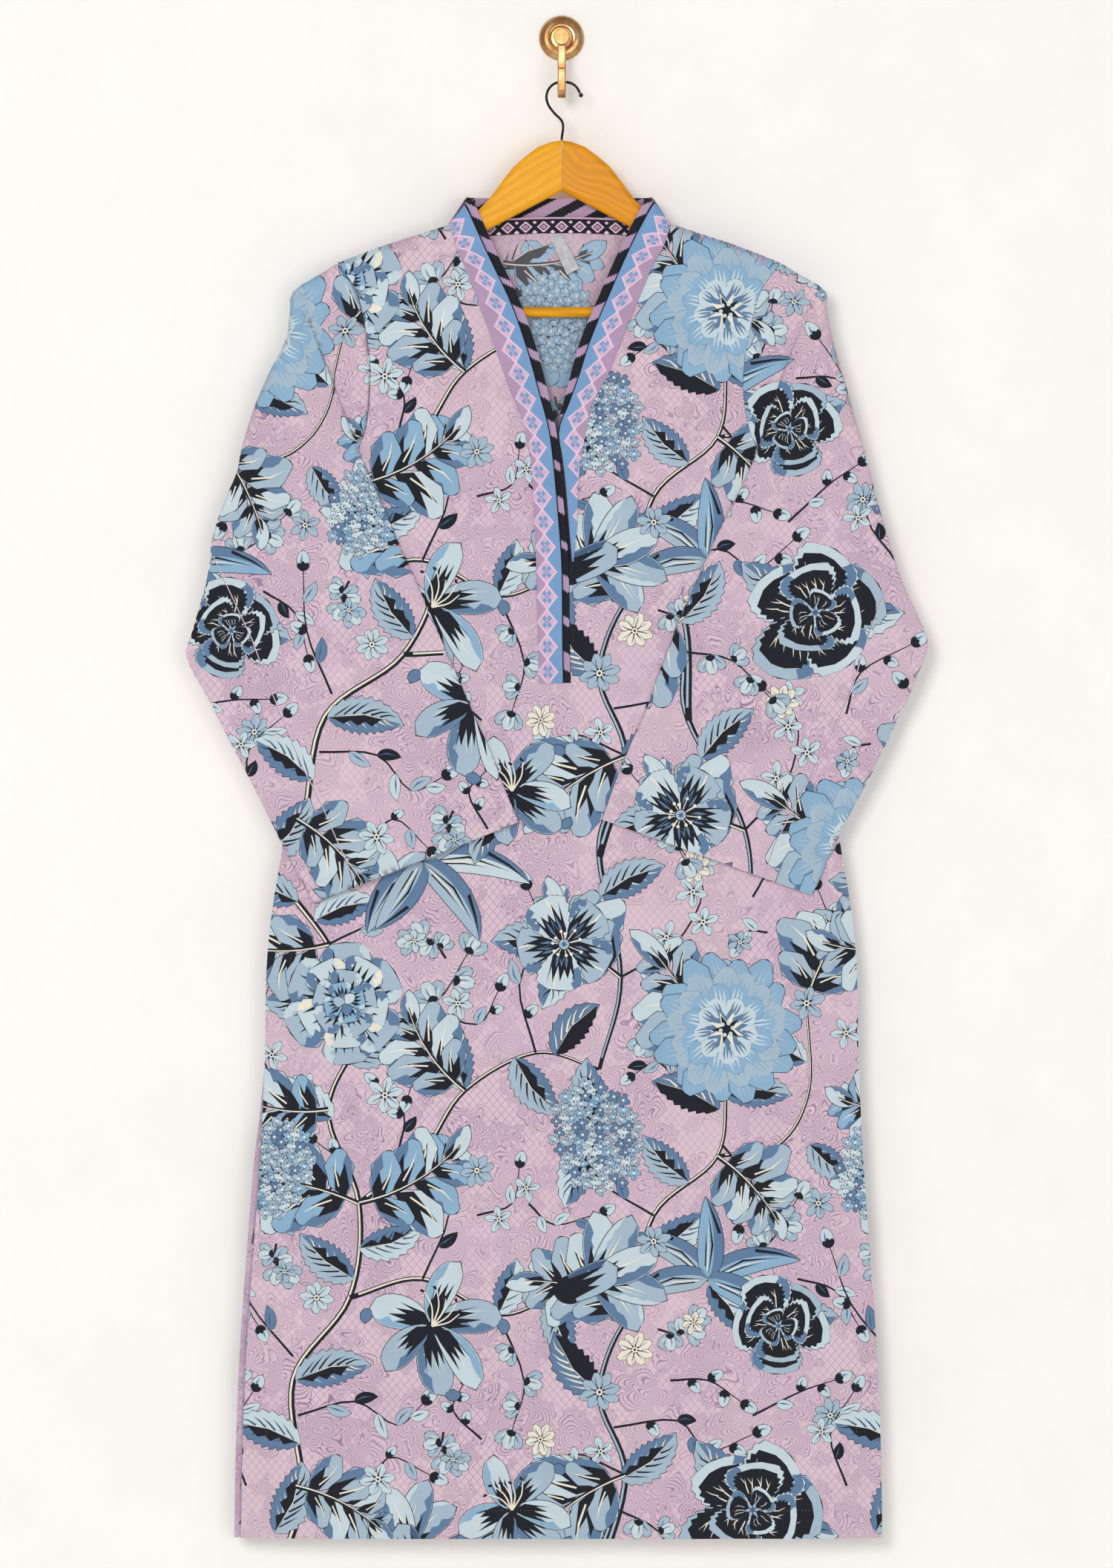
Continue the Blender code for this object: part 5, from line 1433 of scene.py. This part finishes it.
class Finish:
    """A material and short ways to add its nodes."""

    def __init__(self, name, roughness, **sockets):
        self.material = bpy.data.materials.new(name)
        self.material.use_nodes = True
        self.tree = self.material.node_tree
        self.shader = self.tree.nodes["Principled BSDF"]
        self.shader.inputs["Roughness"].default_value = roughness
        for socket, value in sockets.items():
            self.shader.inputs[socket.replace("_", " ")].default_value = value

    def node(self, kind, inputs=(), **settings):
        made = self.tree.nodes.new(kind)
        for key, value in settings.items():
            setattr(made, key, value)
        for key, value in dict(inputs).items():
            if isinstance(value, bpy.types.NodeSocket):
                self.tree.links.new(value, made.inputs[key])
            else:
                made.inputs[key].default_value = value
        return made

    def math(self, operation, a, b=0.0, c=0.0):
        return self.node("ShaderNodeMath", {0: a, 1: b, 2: c}, operation=operation).outputs[0]

    def times(self, first, *others):
        for other in others:
            first = self.math("MULTIPLY", first, other)
        return first

    def less(self, a, b):
        return self.math("SUBTRACT", a, b)

    def wave(self, value, pitch):
        return self.math("SINE", self.times(value, pitch))

    def split(self, vector):
        """The three parts of a vector."""
        return self.node("ShaderNodeSeparateXYZ", {0: vector}).outputs

    def stretched(self, vector, factors):
        return self.vector("MULTIPLY", vector, factors)

    def vector(self, operation, a, b=(0.0, 0.0, 0.0)):
        made = self.node("ShaderNodeVectorMath", {0: a, 1: b}, operation=operation)
        return made.outputs["Value" if operation in ("LENGTH", "DOT_PRODUCT", "DISTANCE") else "Vector"]

    def scaled(self, vector, scale):
        return self.node("ShaderNodeVectorMath", {0: vector, "Scale": scale}, operation="SCALE").outputs[0]

    def blend(self, share, a, b):
        return self.node("ShaderNodeMix", {0: share, 6: a, 7: b}, data_type="RGBA").outputs[2]

    def ramp(self, value, low, high):
        """0 below low and 1 above high."""
        made = self.node("ShaderNodeMapRange", {0: value, 1: low, 2: high}, interpolation_type="SMOOTHSTEP")
        return made.outputs[0]

    def between(self, value, low, high, least, most):
        """least at low, most at high, and a straight line between them."""
        return self.node("ShaderNodeMapRange", {0: value, 1: low, 2: high, 3: least, 4: most}).outputs[0]

    def line(self, value, half):
        """1 where value is within half of a whole number."""
        off = self.math("PINGPONG", value, 0.5)
        return self.ramp(off, half, half * 0.45)

    def noise(self, vector, scale, detail=2.0, roughness=0.5, output=0):
        inputs = {"Vector": vector, "Scale": scale, "Detail": detail, "Roughness": roughness}
        return self.node("ShaderNodeTexNoise", inputs).outputs[output]

    def bump(self, height, strength, distance):
        inputs = {"Height": height, "Strength": strength, "Distance": distance}
        return self.node("ShaderNodeBump", inputs).outputs[0]

    def set(self, socket, value):
        self.tree.links.new(value, self.shader.inputs[socket])


def weave_bump(f, flat, thread, strength):
    """The relief of a plain weave with the given thread width in millimetres."""
    x, y, _ = f.split(flat)
    cell = f.times(f.wave(x, math.pi / thread), f.wave(y, math.pi / thread))
    fibre = f.noise(flat, 2.6, 3.0, 0.7)
    return f.bump(f.math("MULTIPLY_ADD", fibre, 0.8, cell), strength, 0.00012)


def doodle(f, flat, cell, petals, gap, half):
    """Line drawings of flowers, one in each cell of a loose scatter: nested outlines a gap apart,
    and ribs across every other one."""
    scatter = f.node("ShaderNodeTexVoronoi", {"Vector": flat, "Scale": 1.0 / cell, "Randomness": 0.8},
                     voronoi_dimensions="2D")
    away = f.vector("SUBTRACT", flat, scatter.outputs["Position"])
    x, y, _ = f.split(away)
    chance = f.node("ShaderNodeSeparateColor", {0: scatter.outputs["Color"]}).outputs
    count = f.math("ADD", f.math("FLOOR", f.times(chance[0], 4.0)), petals)
    turned = f.times(f.math("ARCTAN2", y, x), count, 0.5)
    wave = f.math("ABSOLUTE", f.math("COSINE", turned))
    reach = f.math("MULTIPLY_ADD", wave, 0.42, 0.58)
    size = f.math("MULTIPLY_ADD", chance[1], 0.2 * cell, 0.36 * cell)
    level = f.math("DIVIDE", f.math("DIVIDE", f.vector("LENGTH", away), reach), gap)
    contour = f.line(level, half / gap)
    within = f.math("LESS_THAN", f.times(level, gap), size)
    ribs = f.line(f.times(turned, 5.0), 0.16)
    odd = f.math("GREATER_THAN", f.math("PINGPONG", f.math("FLOOR", f.math("ADD", level, 0.5)), 1.0), 0.5)
    far = f.math("GREATER_THAN", f.times(level, gap), 0.15 * cell)
    return f.times(f.math("MAXIMUM", contour, f.times(ribs, far, odd)), within), within


NET_SLOPE = 1.2  # of the lines of the ground's diamond net
NET_CELL = 8.2  # its size, in millimetres


def cotton(name, doodles):
    """Printed cotton: the drawn colours, a tonal line drawing on the ground, and the weave."""
    f = Finish(name, 0.88, Sheen_Weight=0.1, Sheen_Roughness=0.5, Specular_IOR_Level=0.25)
    uv = f.node("ShaderNodeUVMap", (), uv_map="cut").outputs[0]
    flat = f.scaled(uv, 1000.0)
    colour = f.node("ShaderNodeVertexColor", (), layer_name="print").outputs[0]
    if doodles:
        ground = f.node("ShaderNodeAttribute", (), attribute_name="ground").outputs["Fac"]
        wobble = f.noise(flat, 0.035, 1.0, output="Color")
        bent = f.vector("ADD", flat, f.scaled(f.vector("SUBTRACT", wobble, (0.5, 0.5, 0.5)), 34.0))
        large, in_large = doodle(f, bent, 58.0, 5.0, 3.1, 0.62)
        small, in_small = doodle(f, f.vector("ADD", bent, (31.0, 17.0, 0.0)), 26.0, 4.0, 2.3, 0.5)
        outside = f.less(1.0, in_large)
        drawn = f.math("MAXIMUM", large, f.times(small, outside))
        x, y, _ = f.split(flat)
        across = f.math("DIVIDE", f.math("MULTIPLY_ADD", x, NET_SLOPE, y), NET_CELL)
        along = f.math("DIVIDE", f.less(f.times(x, NET_SLOPE), y), NET_CELL)
        net = f.math("MAXIMUM", f.line(across, 0.06), f.line(along, 0.06))
        bare = f.times(outside, f.less(1.0, in_small))
        drawn = f.math("MAXIMUM", drawn, f.times(net, bare, 0.75))
        faint = f.ramp(f.noise(flat, 0.009, 2.0), 0.3, 0.66)
        drawn = f.times(drawn, f.math("MULTIPLY_ADD", faint, 0.45, 0.5))
        warm = f.ramp(y, -420.0, -150.0)
        colour = f.blend(f.times(warm, ground, 0.3), colour, tint("DCC0C2"))
        washed = f.ramp(f.noise(flat, 0.014, 3.0), 0.42, 0.7)
        colour = f.blend(f.times(washed, ground, 0.35), colour, tint("CBB0C8"))
        colour = f.blend(f.times(drawn, ground), colour, tint("96789A"))
    mottle = f.between(f.noise(flat, 0.03, 3.0, 0.6), 0.3, 0.7, 0.95, 1.03)
    fine = f.between(f.noise(flat, 1.4, 2.0, 0.7), 0.25, 0.75, 0.93, 1.05)
    tone = f.times(mottle, fine)
    grey = f.node("ShaderNodeCombineXYZ", {0: tone, 1: tone, 2: tone}).outputs[0]
    f.set("Base Color", f.stretched(colour, grey))
    f.set("Normal", weave_bump(f, flat, 0.36, 0.35))
    return f.material


def placed_coordinates(f, turn_y=0.0):
    """Object coordinates in millimetres, turned about the Y axis."""
    at = f.node("ShaderNodeTexCoord").outputs["Object"]
    return f.node("ShaderNodeMapping", {0: f.scaled(at, 1000.0), 2: (0.0, turn_y, 0.0)}).outputs[0]


def thread():
    """Dull tan sewing thread."""
    f = Finish("sewing_thread", 0.7)
    at = placed_coordinates(f)
    f.set("Base Color", f.blend(f.ramp(f.noise(at, 0.8, 2.0), 0.3, 0.7), tint("A67F72"), tint("C29B92")))
    f.set("Normal", f.bump(f.noise(at, 6.0, 2.0), 0.3, 0.0001))
    return f.material


def wood(name, slope, light, dark, knot=None):
    """Varnished wood. slope is the grain's rise in degrees, and knot a place that it bends round."""
    f = Finish(name, 0.42, Specular_IOR_Level=0.22, Coat_Weight=0.04, Coat_Roughness=0.3)
    at = placed_coordinates(f, math.radians(slope))
    if knot:
        spot = f.node("ShaderNodeTexCoord").outputs["Object"]
        near = f.vector("DISTANCE", f.scaled(spot, 1000.0), knot)
        push = f.times(f.less(1.0, f.ramp(near, 0.0, 34.0)), 9.0)
        at = f.vector("ADD", at, f.node("ShaderNodeCombineXYZ", {2: push}).outputs[0])
    wavy = f.noise(f.stretched(at, (0.012, 0.03, 0.05)), 1.0, 3.0)
    rings = f.math("SINE", f.math("ADD", f.times(f.split(at)[2], 0.9), f.times(wavy, 16.0)))
    streaks = f.noise(f.stretched(at, (0.03, 0.6, 1.9)), 1.0, 4.0, 0.65)
    share = f.math("ADD", f.math("MULTIPLY_ADD", rings, 0.16, 0.36), f.times(f.less(streaks, 0.5), 0.9))
    colour = f.blend(f.math("MINIMUM", f.math("MAXIMUM", share, 0.0), 1.0), tint(light), tint(dark))
    if knot:
        eye = f.ramp(near, 3.4, 1.2)
        colour = f.blend(eye, colour, tint("6E3A08"))
    f.set("Base Color", colour)
    f.set("Roughness", f.math("MULTIPLY_ADD", streaks, 0.2, 0.24))
    f.set("Normal", f.bump(streaks, 0.15, 0.0002))
    return f.material


def metal(name, colour, worn, roughness, scale):
    """Satin metal with brushed streaks, faint stains and a brighter tone where it is rubbed."""
    f = Finish(name, roughness, Metallic=1.0)
    at = placed_coordinates(f)
    stains = f.noise(at, 0.09 * scale, 4.0, 0.6)
    rubbed = f.noise(at, 0.5 * scale, 3.0, 0.6)
    tone = f.blend(f.ramp(stains, 0.35, 0.68), tint(colour), tint(worn))
    f.set("Base Color", tone)
    f.set("Roughness", f.math("MULTIPLY_ADD", rubbed, 0.22, roughness - 0.1))
    brushed = f.noise(f.stretched(at, (1.0, 4.0, 1.0)), 1.2 * scale, 2.0)
    f.set("Normal", f.bump(brushed, 0.06, 0.0002))
    return f.material


def tape():
    """The blank label's satin tape."""
    f = Finish("satin_tape", 0.5, Sheen_Weight=0.2)
    at = placed_coordinates(f, math.radians(26))
    lines = f.wave(f.split(at)[0], 9.0)
    share = f.math("MULTIPLY_ADD", lines, 0.12, f.noise(at, 0.2, 3.0))
    f.set("Base Color", f.blend(f.ramp(share, 0.3, 0.75), tint("A9A9AF"), tint("C9C8CC")))
    f.set("Normal", f.bump(lines, 0.2, 0.0001))
    return f.material


def wall_paint():
    """The backdrop's pale paint. Its back is left open, so that views from behind see the part."""
    f = Finish("wall_paint", 0.9)
    at = placed_coordinates(f)
    clouds = f.ramp(f.noise(at, 0.01, 5.0, 0.6), 0.3, 0.7)
    f.set("Base Color", f.blend(clouds, tint("F7F5F1"), tint("FAF8F5")))
    f.set("Normal", f.bump(f.noise(at, 0.35, 4.0), 0.05, 0.0003))
    behind = f.node("ShaderNodeNewGeometry").outputs["Backfacing"]
    clear = f.node("ShaderNodeBsdfTransparent").outputs[0]
    both = f.node("ShaderNodeMixShader", {0: behind, 1: f.shader.outputs[0], 2: clear}).outputs[0]
    f.tree.links.new(both, f.tree.nodes["Material Output"].inputs["Surface"])
    return f.material


# ---- patterns of the borders


def diamond(x, y, wide, high, steps):
    """A diamond whose sides rise in steps."""
    points = []
    for quarter, (sx, sy) in enumerate(((1, 1), (-1, 1), (-1, -1), (1, -1))):
        corner = []
        for k in range(steps):
            corner.append((wide * (1 - k / steps), high * (k + 1) / steps))
            corner.append((wide * (1 - (k + 1) / steps), high * (k + 1) / steps))
        corner = [(wide, high * 0.5 / steps)] + [(a, b - high * 0.5 / steps) for a, b in corner]
        if quarter % 2:
            corner.reverse()
        points += [(x + sx * a, y + sy * b) for a, b in corner]
    return np.array(points)


def box(x0, y0, x1, y1):
    """A rectangle, with points close enough along its sides to follow the cloth."""
    corners = [(x0, y0), (x1, y0), (x1, y1), (x0, y1), (x0, y0)]
    points = []
    for (ax, ay), (bx, by) in zip(corners, corners[1:]):
        steps = max(1, math.ceil(max(abs(bx - ax), abs(by - ay)) / STRAIGHT))
        points += [(mix(ax, bx, k / steps), mix(ay, by, k / steps)) for k in range(steps)]
    return np.array(points, float)


BAND_PITCH = 21.2  # along the band, from one diamond to the next
BAND_MIDDLE = 12.6  # the diamonds' middle line, from the inner edge
DIAMOND_WIDE = 7.4  # from a diamond's middle to its corner


def band_shapes(length):
    """Pink stepped diamonds with a blue flower in each, blue inside them and mauve outside."""
    s = Sketch()
    s.add(box(-2.0, -length - 2.0, BAND_MIDDLE, 2.0), "band_blue")
    s.add(box(BAND_MIDDLE, -length - 2.0, 34.0, 2.0), "band_mauve")
    middles = [-(k + 0.35) * BAND_PITCH for k in range(int(length / BAND_PITCH) + 2)]
    for y in middles:
        s.add(diamond(BAND_MIDDLE, y, DIAMOND_WIDE + 0.9, BAND_PITCH / 2 + 1.0, 7), "band_pink")
    for y in middles:
        s.add(diamond(BAND_MIDDLE, y, DIAMOND_WIDE - 0.7, BAND_PITCH / 2 - 1.5, 6), "band_lilac")
        for dx, dy in ((1.9, 2.9), (-1.9, 2.9), (1.9, -2.9), (-1.9, -2.9)):
            s.add(diamond(BAND_MIDDLE + dx, y + dy, 1.9, 2.7, 3), "band_blue")
        s.add(box(BAND_MIDDLE - 1.5, y - 0.5, BAND_MIDDLE + 1.5, y + 0.5), "band_blue")
        s.add(box(BAND_MIDDLE - 0.5, y - 1.5, BAND_MIDDLE + 0.5, y + 1.5), "band_blue")
    s.add(box(-2.0, -length - 2.0, 0.9, 2.0), "ink")
    return s.shapes


TOOTH = 0.8  # from one tooth of a feathered stripe to the next


def ikat_shapes(x0, x1, y0, y1, slant, pitch, colour, share, seed):
    """Slanting stripes with feathered ends over a region."""
    rng = random.Random(seed)
    s = Sketch()
    steps = int((y1 - y0) / TOOTH)
    for k in range(int((x1 - x0 + slant * (y1 - y0)) / pitch) + 2):
        left = x0 - slant * (y1 - y0) + k * pitch + rng.uniform(-0.08, 0.08) * pitch
        wide = pitch * share * rng.uniform(0.85, 1.15)
        near, far = [], []
        for j in range(steps + 1):
            y = mix(y0, y1, j / steps)
            middle = left + slant * (y - y0)
            tooth = 1.3 * (1 if j % 2 else -1) * rng.uniform(0.4, 1.0)
            near.append((middle - wide / 2 - tooth, y))
            far.append((middle + wide / 2 + tooth * 0.9, y))
        s.add(np.array(near + far[::-1]), colour)
    return s.shapes


STRIP_PITCH = 15.3  # along the strip, from one diamond to the next


def strip_shapes():
    """The back neck's black strip: pink stepped diamonds, small ones between, pink at its top."""
    s = Sketch()
    s.add(box(-84.0, -20.0, 84.0, 4.0), "ink")
    s.add(box(-84.0, -1.5, 84.0, 4.0), "ikat_pink")
    for k in range(-6, 7):
        x = k * STRIP_PITCH
        between = x + STRIP_PITCH / 2
        for middle, y, wide, high, steps, colour in (
            (x, -8.0, 5.6, 5.0, 5, "band_pink"), (x, -8.0, 3.8, 3.3, 4, "ink"),
            (x, -8.0, 2.4, 2.1, 3, "ikat_pink"),
            (between, -4.2, 1.6, 1.5, 2, "band_pink"), (between, -12.6, 2.2, 2.0, 3, "band_pink"),
        ):
            s.add(diamond(middle, y, wide, high, steps), colour)
        s.add(box(x - 0.5, -8.5, x + 0.5, -7.5), "ink")
    return s.shapes


# ---- the inside of the back, where the print shows through faint and grey

FAINT = {"mauve": "in_mauve", "light": "in_light", "pale": "in_light", "sky": "in_light", "denim": "in_light",
         "deep": "charcoal", "ink": "charcoal", "cream": "in_cream"}


def seen_through(shapes):
    """The print again for the back's inner face, where the neck and the left slit show it."""
    kept = []
    for points, colour in shapes:
        low, high = points.min(axis=0), points.max(axis=0)
        at_neck = low[0] > -84 and high[0] < 84 and low[1] > -330 and high[1] < -170
        at_slit = low[0] > 238 and high[1] < -SLIT_DROP and low[1] > 0.6 - LENGTH_DROP and (
            points[:, 0] < BODY_EDGE(-points[:, 1]) + 5.2 * back_shows(-points[:, 1])
            - lean(-points[:, 1]) - 0.8).all()
        if at_neck or at_slit:
            kept.append((points, FAINT[colour]))
    return kept


# ---- seams and stitches


def flat_at(sheet, spots):
    """Where the face towards the viewer has the given (x, drop) spots, in flat millimetres."""
    tris = sheet.triangles()
    tris = tris[sheet.normal.reshape(-1, 3)[tris].mean(axis=1)[:, 1] < -0.3]
    points = sheet.points.reshape(-1, 3) / MM
    tree = BVHTree.FromPolygons([(x, DATUM - z, 0.0) for x, _, z in points], tris.tolist())
    out = []
    for x, drop in spots:
        tri = tris[tree.find_nearest((x, drop, 0.0))[2]]
        p, q, r = (np.array((points[k][0], DATUM - points[k][2])) for k in tri)
        share = np.linalg.solve(np.stack([q - p, r - p], 1), np.array((x, drop)) - p)
        first, second, third = (sheet.flat.reshape(-1, 2)[k] for k in tri)
        out.append(first + share[0] * (second - first) + share[1] * (third - first))
    return np.array(out)


def along_line(line, distances):
    """The places at the given distances along a flat line."""
    walked = walked_along(line)
    return np.stack([np.interp(distances, walked, line[:, k]) for k in (0, 1)], -1)


def inset(sheet, edge, distance, start=0, end=None):
    """A flat line at a distance inside the sheet's last row, or its first or last column."""
    grid = {"bottom": sheet.flat[::-1], "first": sheet.flat.swapaxes(0, 1),
            "last": sheet.flat.swapaxes(0, 1)[::-1]}[edge]
    return np.array([along_line(line, distance) for line in grid.swapaxes(0, 1)])[start:end]


def spaced(line, pitch):
    return along_line(line, np.arange(0.0, walked_along(line)[-1], pitch))


# the faces of one stitch, whose points are its ends, its sides, its top and its bottom
STITCH_FACES = ((0, 2, 4), (0, 4, 3), (0, 3, 5), (0, 5, 2), (1, 4, 2), (1, 3, 4), (1, 5, 3), (1, 2, 5))


def stitches(sheet, wall, lines, long=2.1, pitch=3.1, thick=0.34):
    """Short threads along flat lines, each sunk at its ends, as (points, faces)."""
    points, faces = [], []
    for line in lines:
        if len(line) < 2 or walked_along(line)[-1] < pitch:
            continue
        starts = spaced(line, pitch)[:-1]
        ends = starts + unit(np.diff(spaced(line, pitch), axis=0)) * long
        on_cloth = [lifted(sheet, spots, wall / 2, True) for spots in (starts, (starts + ends) / 2, ends)]
        for k in range(len(starts)):
            (a, na), (m, nm), (b, nb) = ((spots[k], normals[k]) for spots, normals in on_cloth)
            along = (b - a) / max(np.linalg.norm(b - a), 1e-9)
            side = np.cross(along, nm) * thick / 2 * MM
            first = len(points)
            points += [a - na * 0.1 * MM, b - nb * 0.1 * MM, m + side, m - side,
                       m + nm * thick * 0.6 * MM, m - nm * thick * 0.4 * MM]
            faces += [tuple(first + v for v in tri) for tri in STITCH_FACES]
    return points, faces


def sewn(name, parts, finish):
    """One piece of all the given stitches."""
    points, faces = [], []
    for more, tris in parts:
        faces += [tuple(v + len(points) for v in tri) for tri in tris]
        points += more
    mesh = bpy.data.meshes.new(name)
    mesh.from_pydata([tuple(p) for p in points], [], faces)
    mesh.shade_smooth()
    mesh.materials.append(finish)
    obj = put(name, mesh)
    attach(obj, "root")


def seam_shading_shapes(line):
    """A seam as shapes over the print: painted shade in its groove, and a painted highlight on its edge."""
    s = Sketch()
    line = spaced(line, 4.0)
    normal = left_of(line)
    # painted shade along the groove (seam), then a painted highlight beside it (seam_light)
    for low, high, colour in ((-0.3, 0.22, "seam"), (0.22, 0.7, "seam_light")):
        s.add(np.concatenate([line + normal * low, (line + normal * high)[::-1]]), colour)
    return s.shapes


# seams on the sleeves' faces, as (x, drop)
SLEEVE_SEAMS = {
    -1: ((-296, 441), (-263, 511.5), (-250.7, 545), (-242.5, 565.7), (-219.9, 620), (-206, 646.4),
         (-198.5, 664), (-174.5, 718.5)),
    1: ((284, 453), (269, 483), (258, 514), (245, 555.7), (226.8, 596.6), (196, 654.6), (180.2, 685.4),
        (173.5, 706)),
}

# ---- the pieces

PRINT = print_repeat()
printed = cotton("printed_cotton_finish", True)
bordered = cotton("border_cotton_finish", False)


def dress(name, sheet, wall, finish, nodes, shapes, outside="mauve", inside="inside", inner=()):
    """A piece of cloth, its flat size and its flat area, in metres."""
    made, area = cloth(name, sheet, wall, finish, outside, inside, shapes, inner)
    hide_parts(*nodes)
    wide, long = (float(size) * MM for size in np.ptp(sheet.flat.reshape(-1, 2), axis=0))
    return made, (wide, long), min(area, wide * long)


sewing = []
front, back = front_sheet(), back_sheet()
for sheet in (front, back):
    lines = [inset(sheet, "bottom", HEM_FOLD, 1, -1)]
    for edge in ("first", "last"):
        lines.append(np.array([p for p in inset(sheet, edge, SLIT_FOLD) if p[1] < -SLIT_DROP - 4.0]))
        top = lines[-1][0]
        across = 1.0 if (edge == "first") == (sheet is front) else -1.0
        lines.append(np.array([top, top - (across * (SLIT_FOLD - 2.0), 0.0)]))
    sewing.append(stitches(sheet, CLOTH, lines))
# each piece shifts the print by its own (x, y), and the sleeves turn it too
dress("tunic_front", front, CLOTH, printed, ["body_front"],
              print_shapes(front, (-268.0, -1290.0)))
back_shapes = print_shapes(back, (-20.0, -1180.0))
dress("tunic_back", back, CLOTH, printed, ["body_back"], back_shapes,
              inner=seen_through(back_shapes))
for side, name, shift, turn in ((-1, "left", (-60.0, -150.0), -0.30), (1, "right", (140.0, 40.0), 0.30)):
    sleeve = sleeve_sheet(side)
    sewing.append(stitches(sleeve, CLOTH, [inset(sleeve, "bottom", CUFF_FOLD, 1, -1)]))
    shapes = print_shapes(sleeve, shift, turn) + seam_shading_shapes(flat_at(sleeve, SLEEVE_SEAMS[side]))
    made = dress("tunic_sleeve_" + name, sleeve, CLOTH, printed,
                 ["sleeve_" + name], shapes)
for name, table, widths in (("left", BAND_LEFT, ROLL_LEFT), ("right", BAND_RIGHT, ROLL_RIGHT)):
    sheet = roll_sheet(table, widths)
    length = -sheet.flat[..., 1].min()
    stripes = ikat_shapes(-4.0, length + 4.0, -1.0, 9.0, 0.7, 33.0, "ink", 0.64, 5)
    piping = dress("piping_" + name, sheet, TRIM, bordered, ["neck_roll_" + name],
                   [(points[:, ::-1] * (1.0, -1.0), colour) for points, colour in stripes],
                   "band_mauve", "band_mauve")[0]
    sheet = band_sheet(table)
    length = -sheet.flat[..., 1].min()
    sewing.append(stitches(sheet, TRIM, [inset(sheet, "first", 1.3, 3, -2)], 1.7, 2.4, 0.26))
    border = dress("border_" + name, sheet, TRIM, bordered, ["neck_band_" + name],
                   band_shapes(length), "band_mauve", "band_mauve")
stripes = ikat_shapes(-100.0, 100.0, -166.0, -128.0, 1.9, 34.0, "ink", 0.52, 9)
for name, sheet, shapes, ground, inner in (
    ("stand", stand_sheet(), stripes, "band_mauve", stripes),
    ("strip", strip_sheet(), strip_shapes(), "ink", ()),
):
    made = dress(name, sheet, TRIM, bordered, ["neck_" + name], shapes,
                 ground, ground, inner)

sewn("stitches", sewing, thread())

pale_wood = wood("amber_wood_left", 29.0, "F5AF00", "CF8500")
deep_wood = wood("amber_wood_right", -29.0, "EA9C00", "BC7000", knot=(14.2, -30.0, -120.0))
bar_wood = wood("amber_wood_bar", 0.0, "EBA508", "BE7A00")
steel = metal("dark_steel", "2A2826", "4A4644", 0.35, 3.0)
brass = metal("worn_brass", "B58350", "D9B183", 0.3, 1.0)
for node, finish in (
    ("hanger_arm_left", pale_wood), ("hanger_arm_right", deep_wood), ("hanger_bar", bar_wood),
    ("hanger_hook", steel), ("hanger_hook_tip", steel), ("wall_rosette", brass), ("wall_stem", brass),
    ("wall_hook_bar", brass), ("neck_label", tape()),
):
    slots = nodes[node].data.materials
    for i in range(len(slots)):
        slots[i] = finish

# ---- stage, light and camera


def stage_plane(name, corners, finish):
    mesh = bpy.data.meshes.new(name)
    mesh.from_pydata(corners, [], [(0, 1, 2, 3)])
    mesh.materials.append(finish)
    obj = put(name, mesh)
    return obj


paint = wall_paint()
WALL_Y, FLOOR_Z, SIDE = 0.0004, -1.5, 4
low_left, low_right = (-SIDE, WALL_Y, FLOOR_Z), (SIDE, WALL_Y, FLOOR_Z)
wall = stage_plane("wall", [low_left, low_right, (SIDE, WALL_Y, 1.6), (-SIDE, WALL_Y, 1.6)], paint)
wall.visible_shadow = False  # so that the light behind it reaches the part's back
stage_plane("floor", [low_left, (-SIDE, -6, FLOOR_Z), (SIDE, -6, FLOOR_Z), low_right], paint)


def soft_light(name, place, target, size, power, colour=(1.0, 1.0, 1.0)):
    lamp = bpy.data.lights.new(name, "AREA")
    lamp.shape = "DISK"
    lamp.size, lamp.energy, lamp.color = size, power, colour
    obj = put(name, lamp)
    obj.location = place
    obj.rotation_euler = (Vector(target) - Vector(place)).to_track_quat("-Z", "Y").to_euler()


HANG_MIDDLE = (0.0, 0.0, -0.64)
soft_light("key", (-1.1, -4.3, 0.5), HANG_MIDDLE, 1.6, 75.0, (1.0, 0.995, 0.985))
soft_light("fill", (1.3, -4.2, -0.9), HANG_MIDDLE, 2.2, 40.0, (0.99, 0.995, 1.0))
soft_light("back_fill", (0.0, 3.2, 0.6), HANG_MIDDLE, 2.4, 40.0)
world = bpy.data.worlds.new("studio")
world.use_nodes = True
background = world.node_tree.nodes["Background"].inputs
background["Color"].default_value = (1.0, 0.995, 0.985, 1.0)
background["Strength"].default_value = 0.4
bpy.context.scene.world = world
bpy.context.scene.view_settings.view_transform = "Standard"

VIEW_HIGH, VIEW_FROM = 1.331, 4.5  # the photo's height at the garment, and the camera's distance from it
camera_data = bpy.data.cameras.new("camera")
camera_data.sensor_fit = "VERTICAL"
camera_data.angle_y = 2 * math.atan(VIEW_HIGH / 2 / VIEW_FROM)
camera = put("camera", camera_data)
camera.location = (-0.0044, -0.036 - VIEW_FROM, -0.638)
camera.rotation_euler = (math.radians(90), 0, 0)
bpy.context.scene.camera = camera
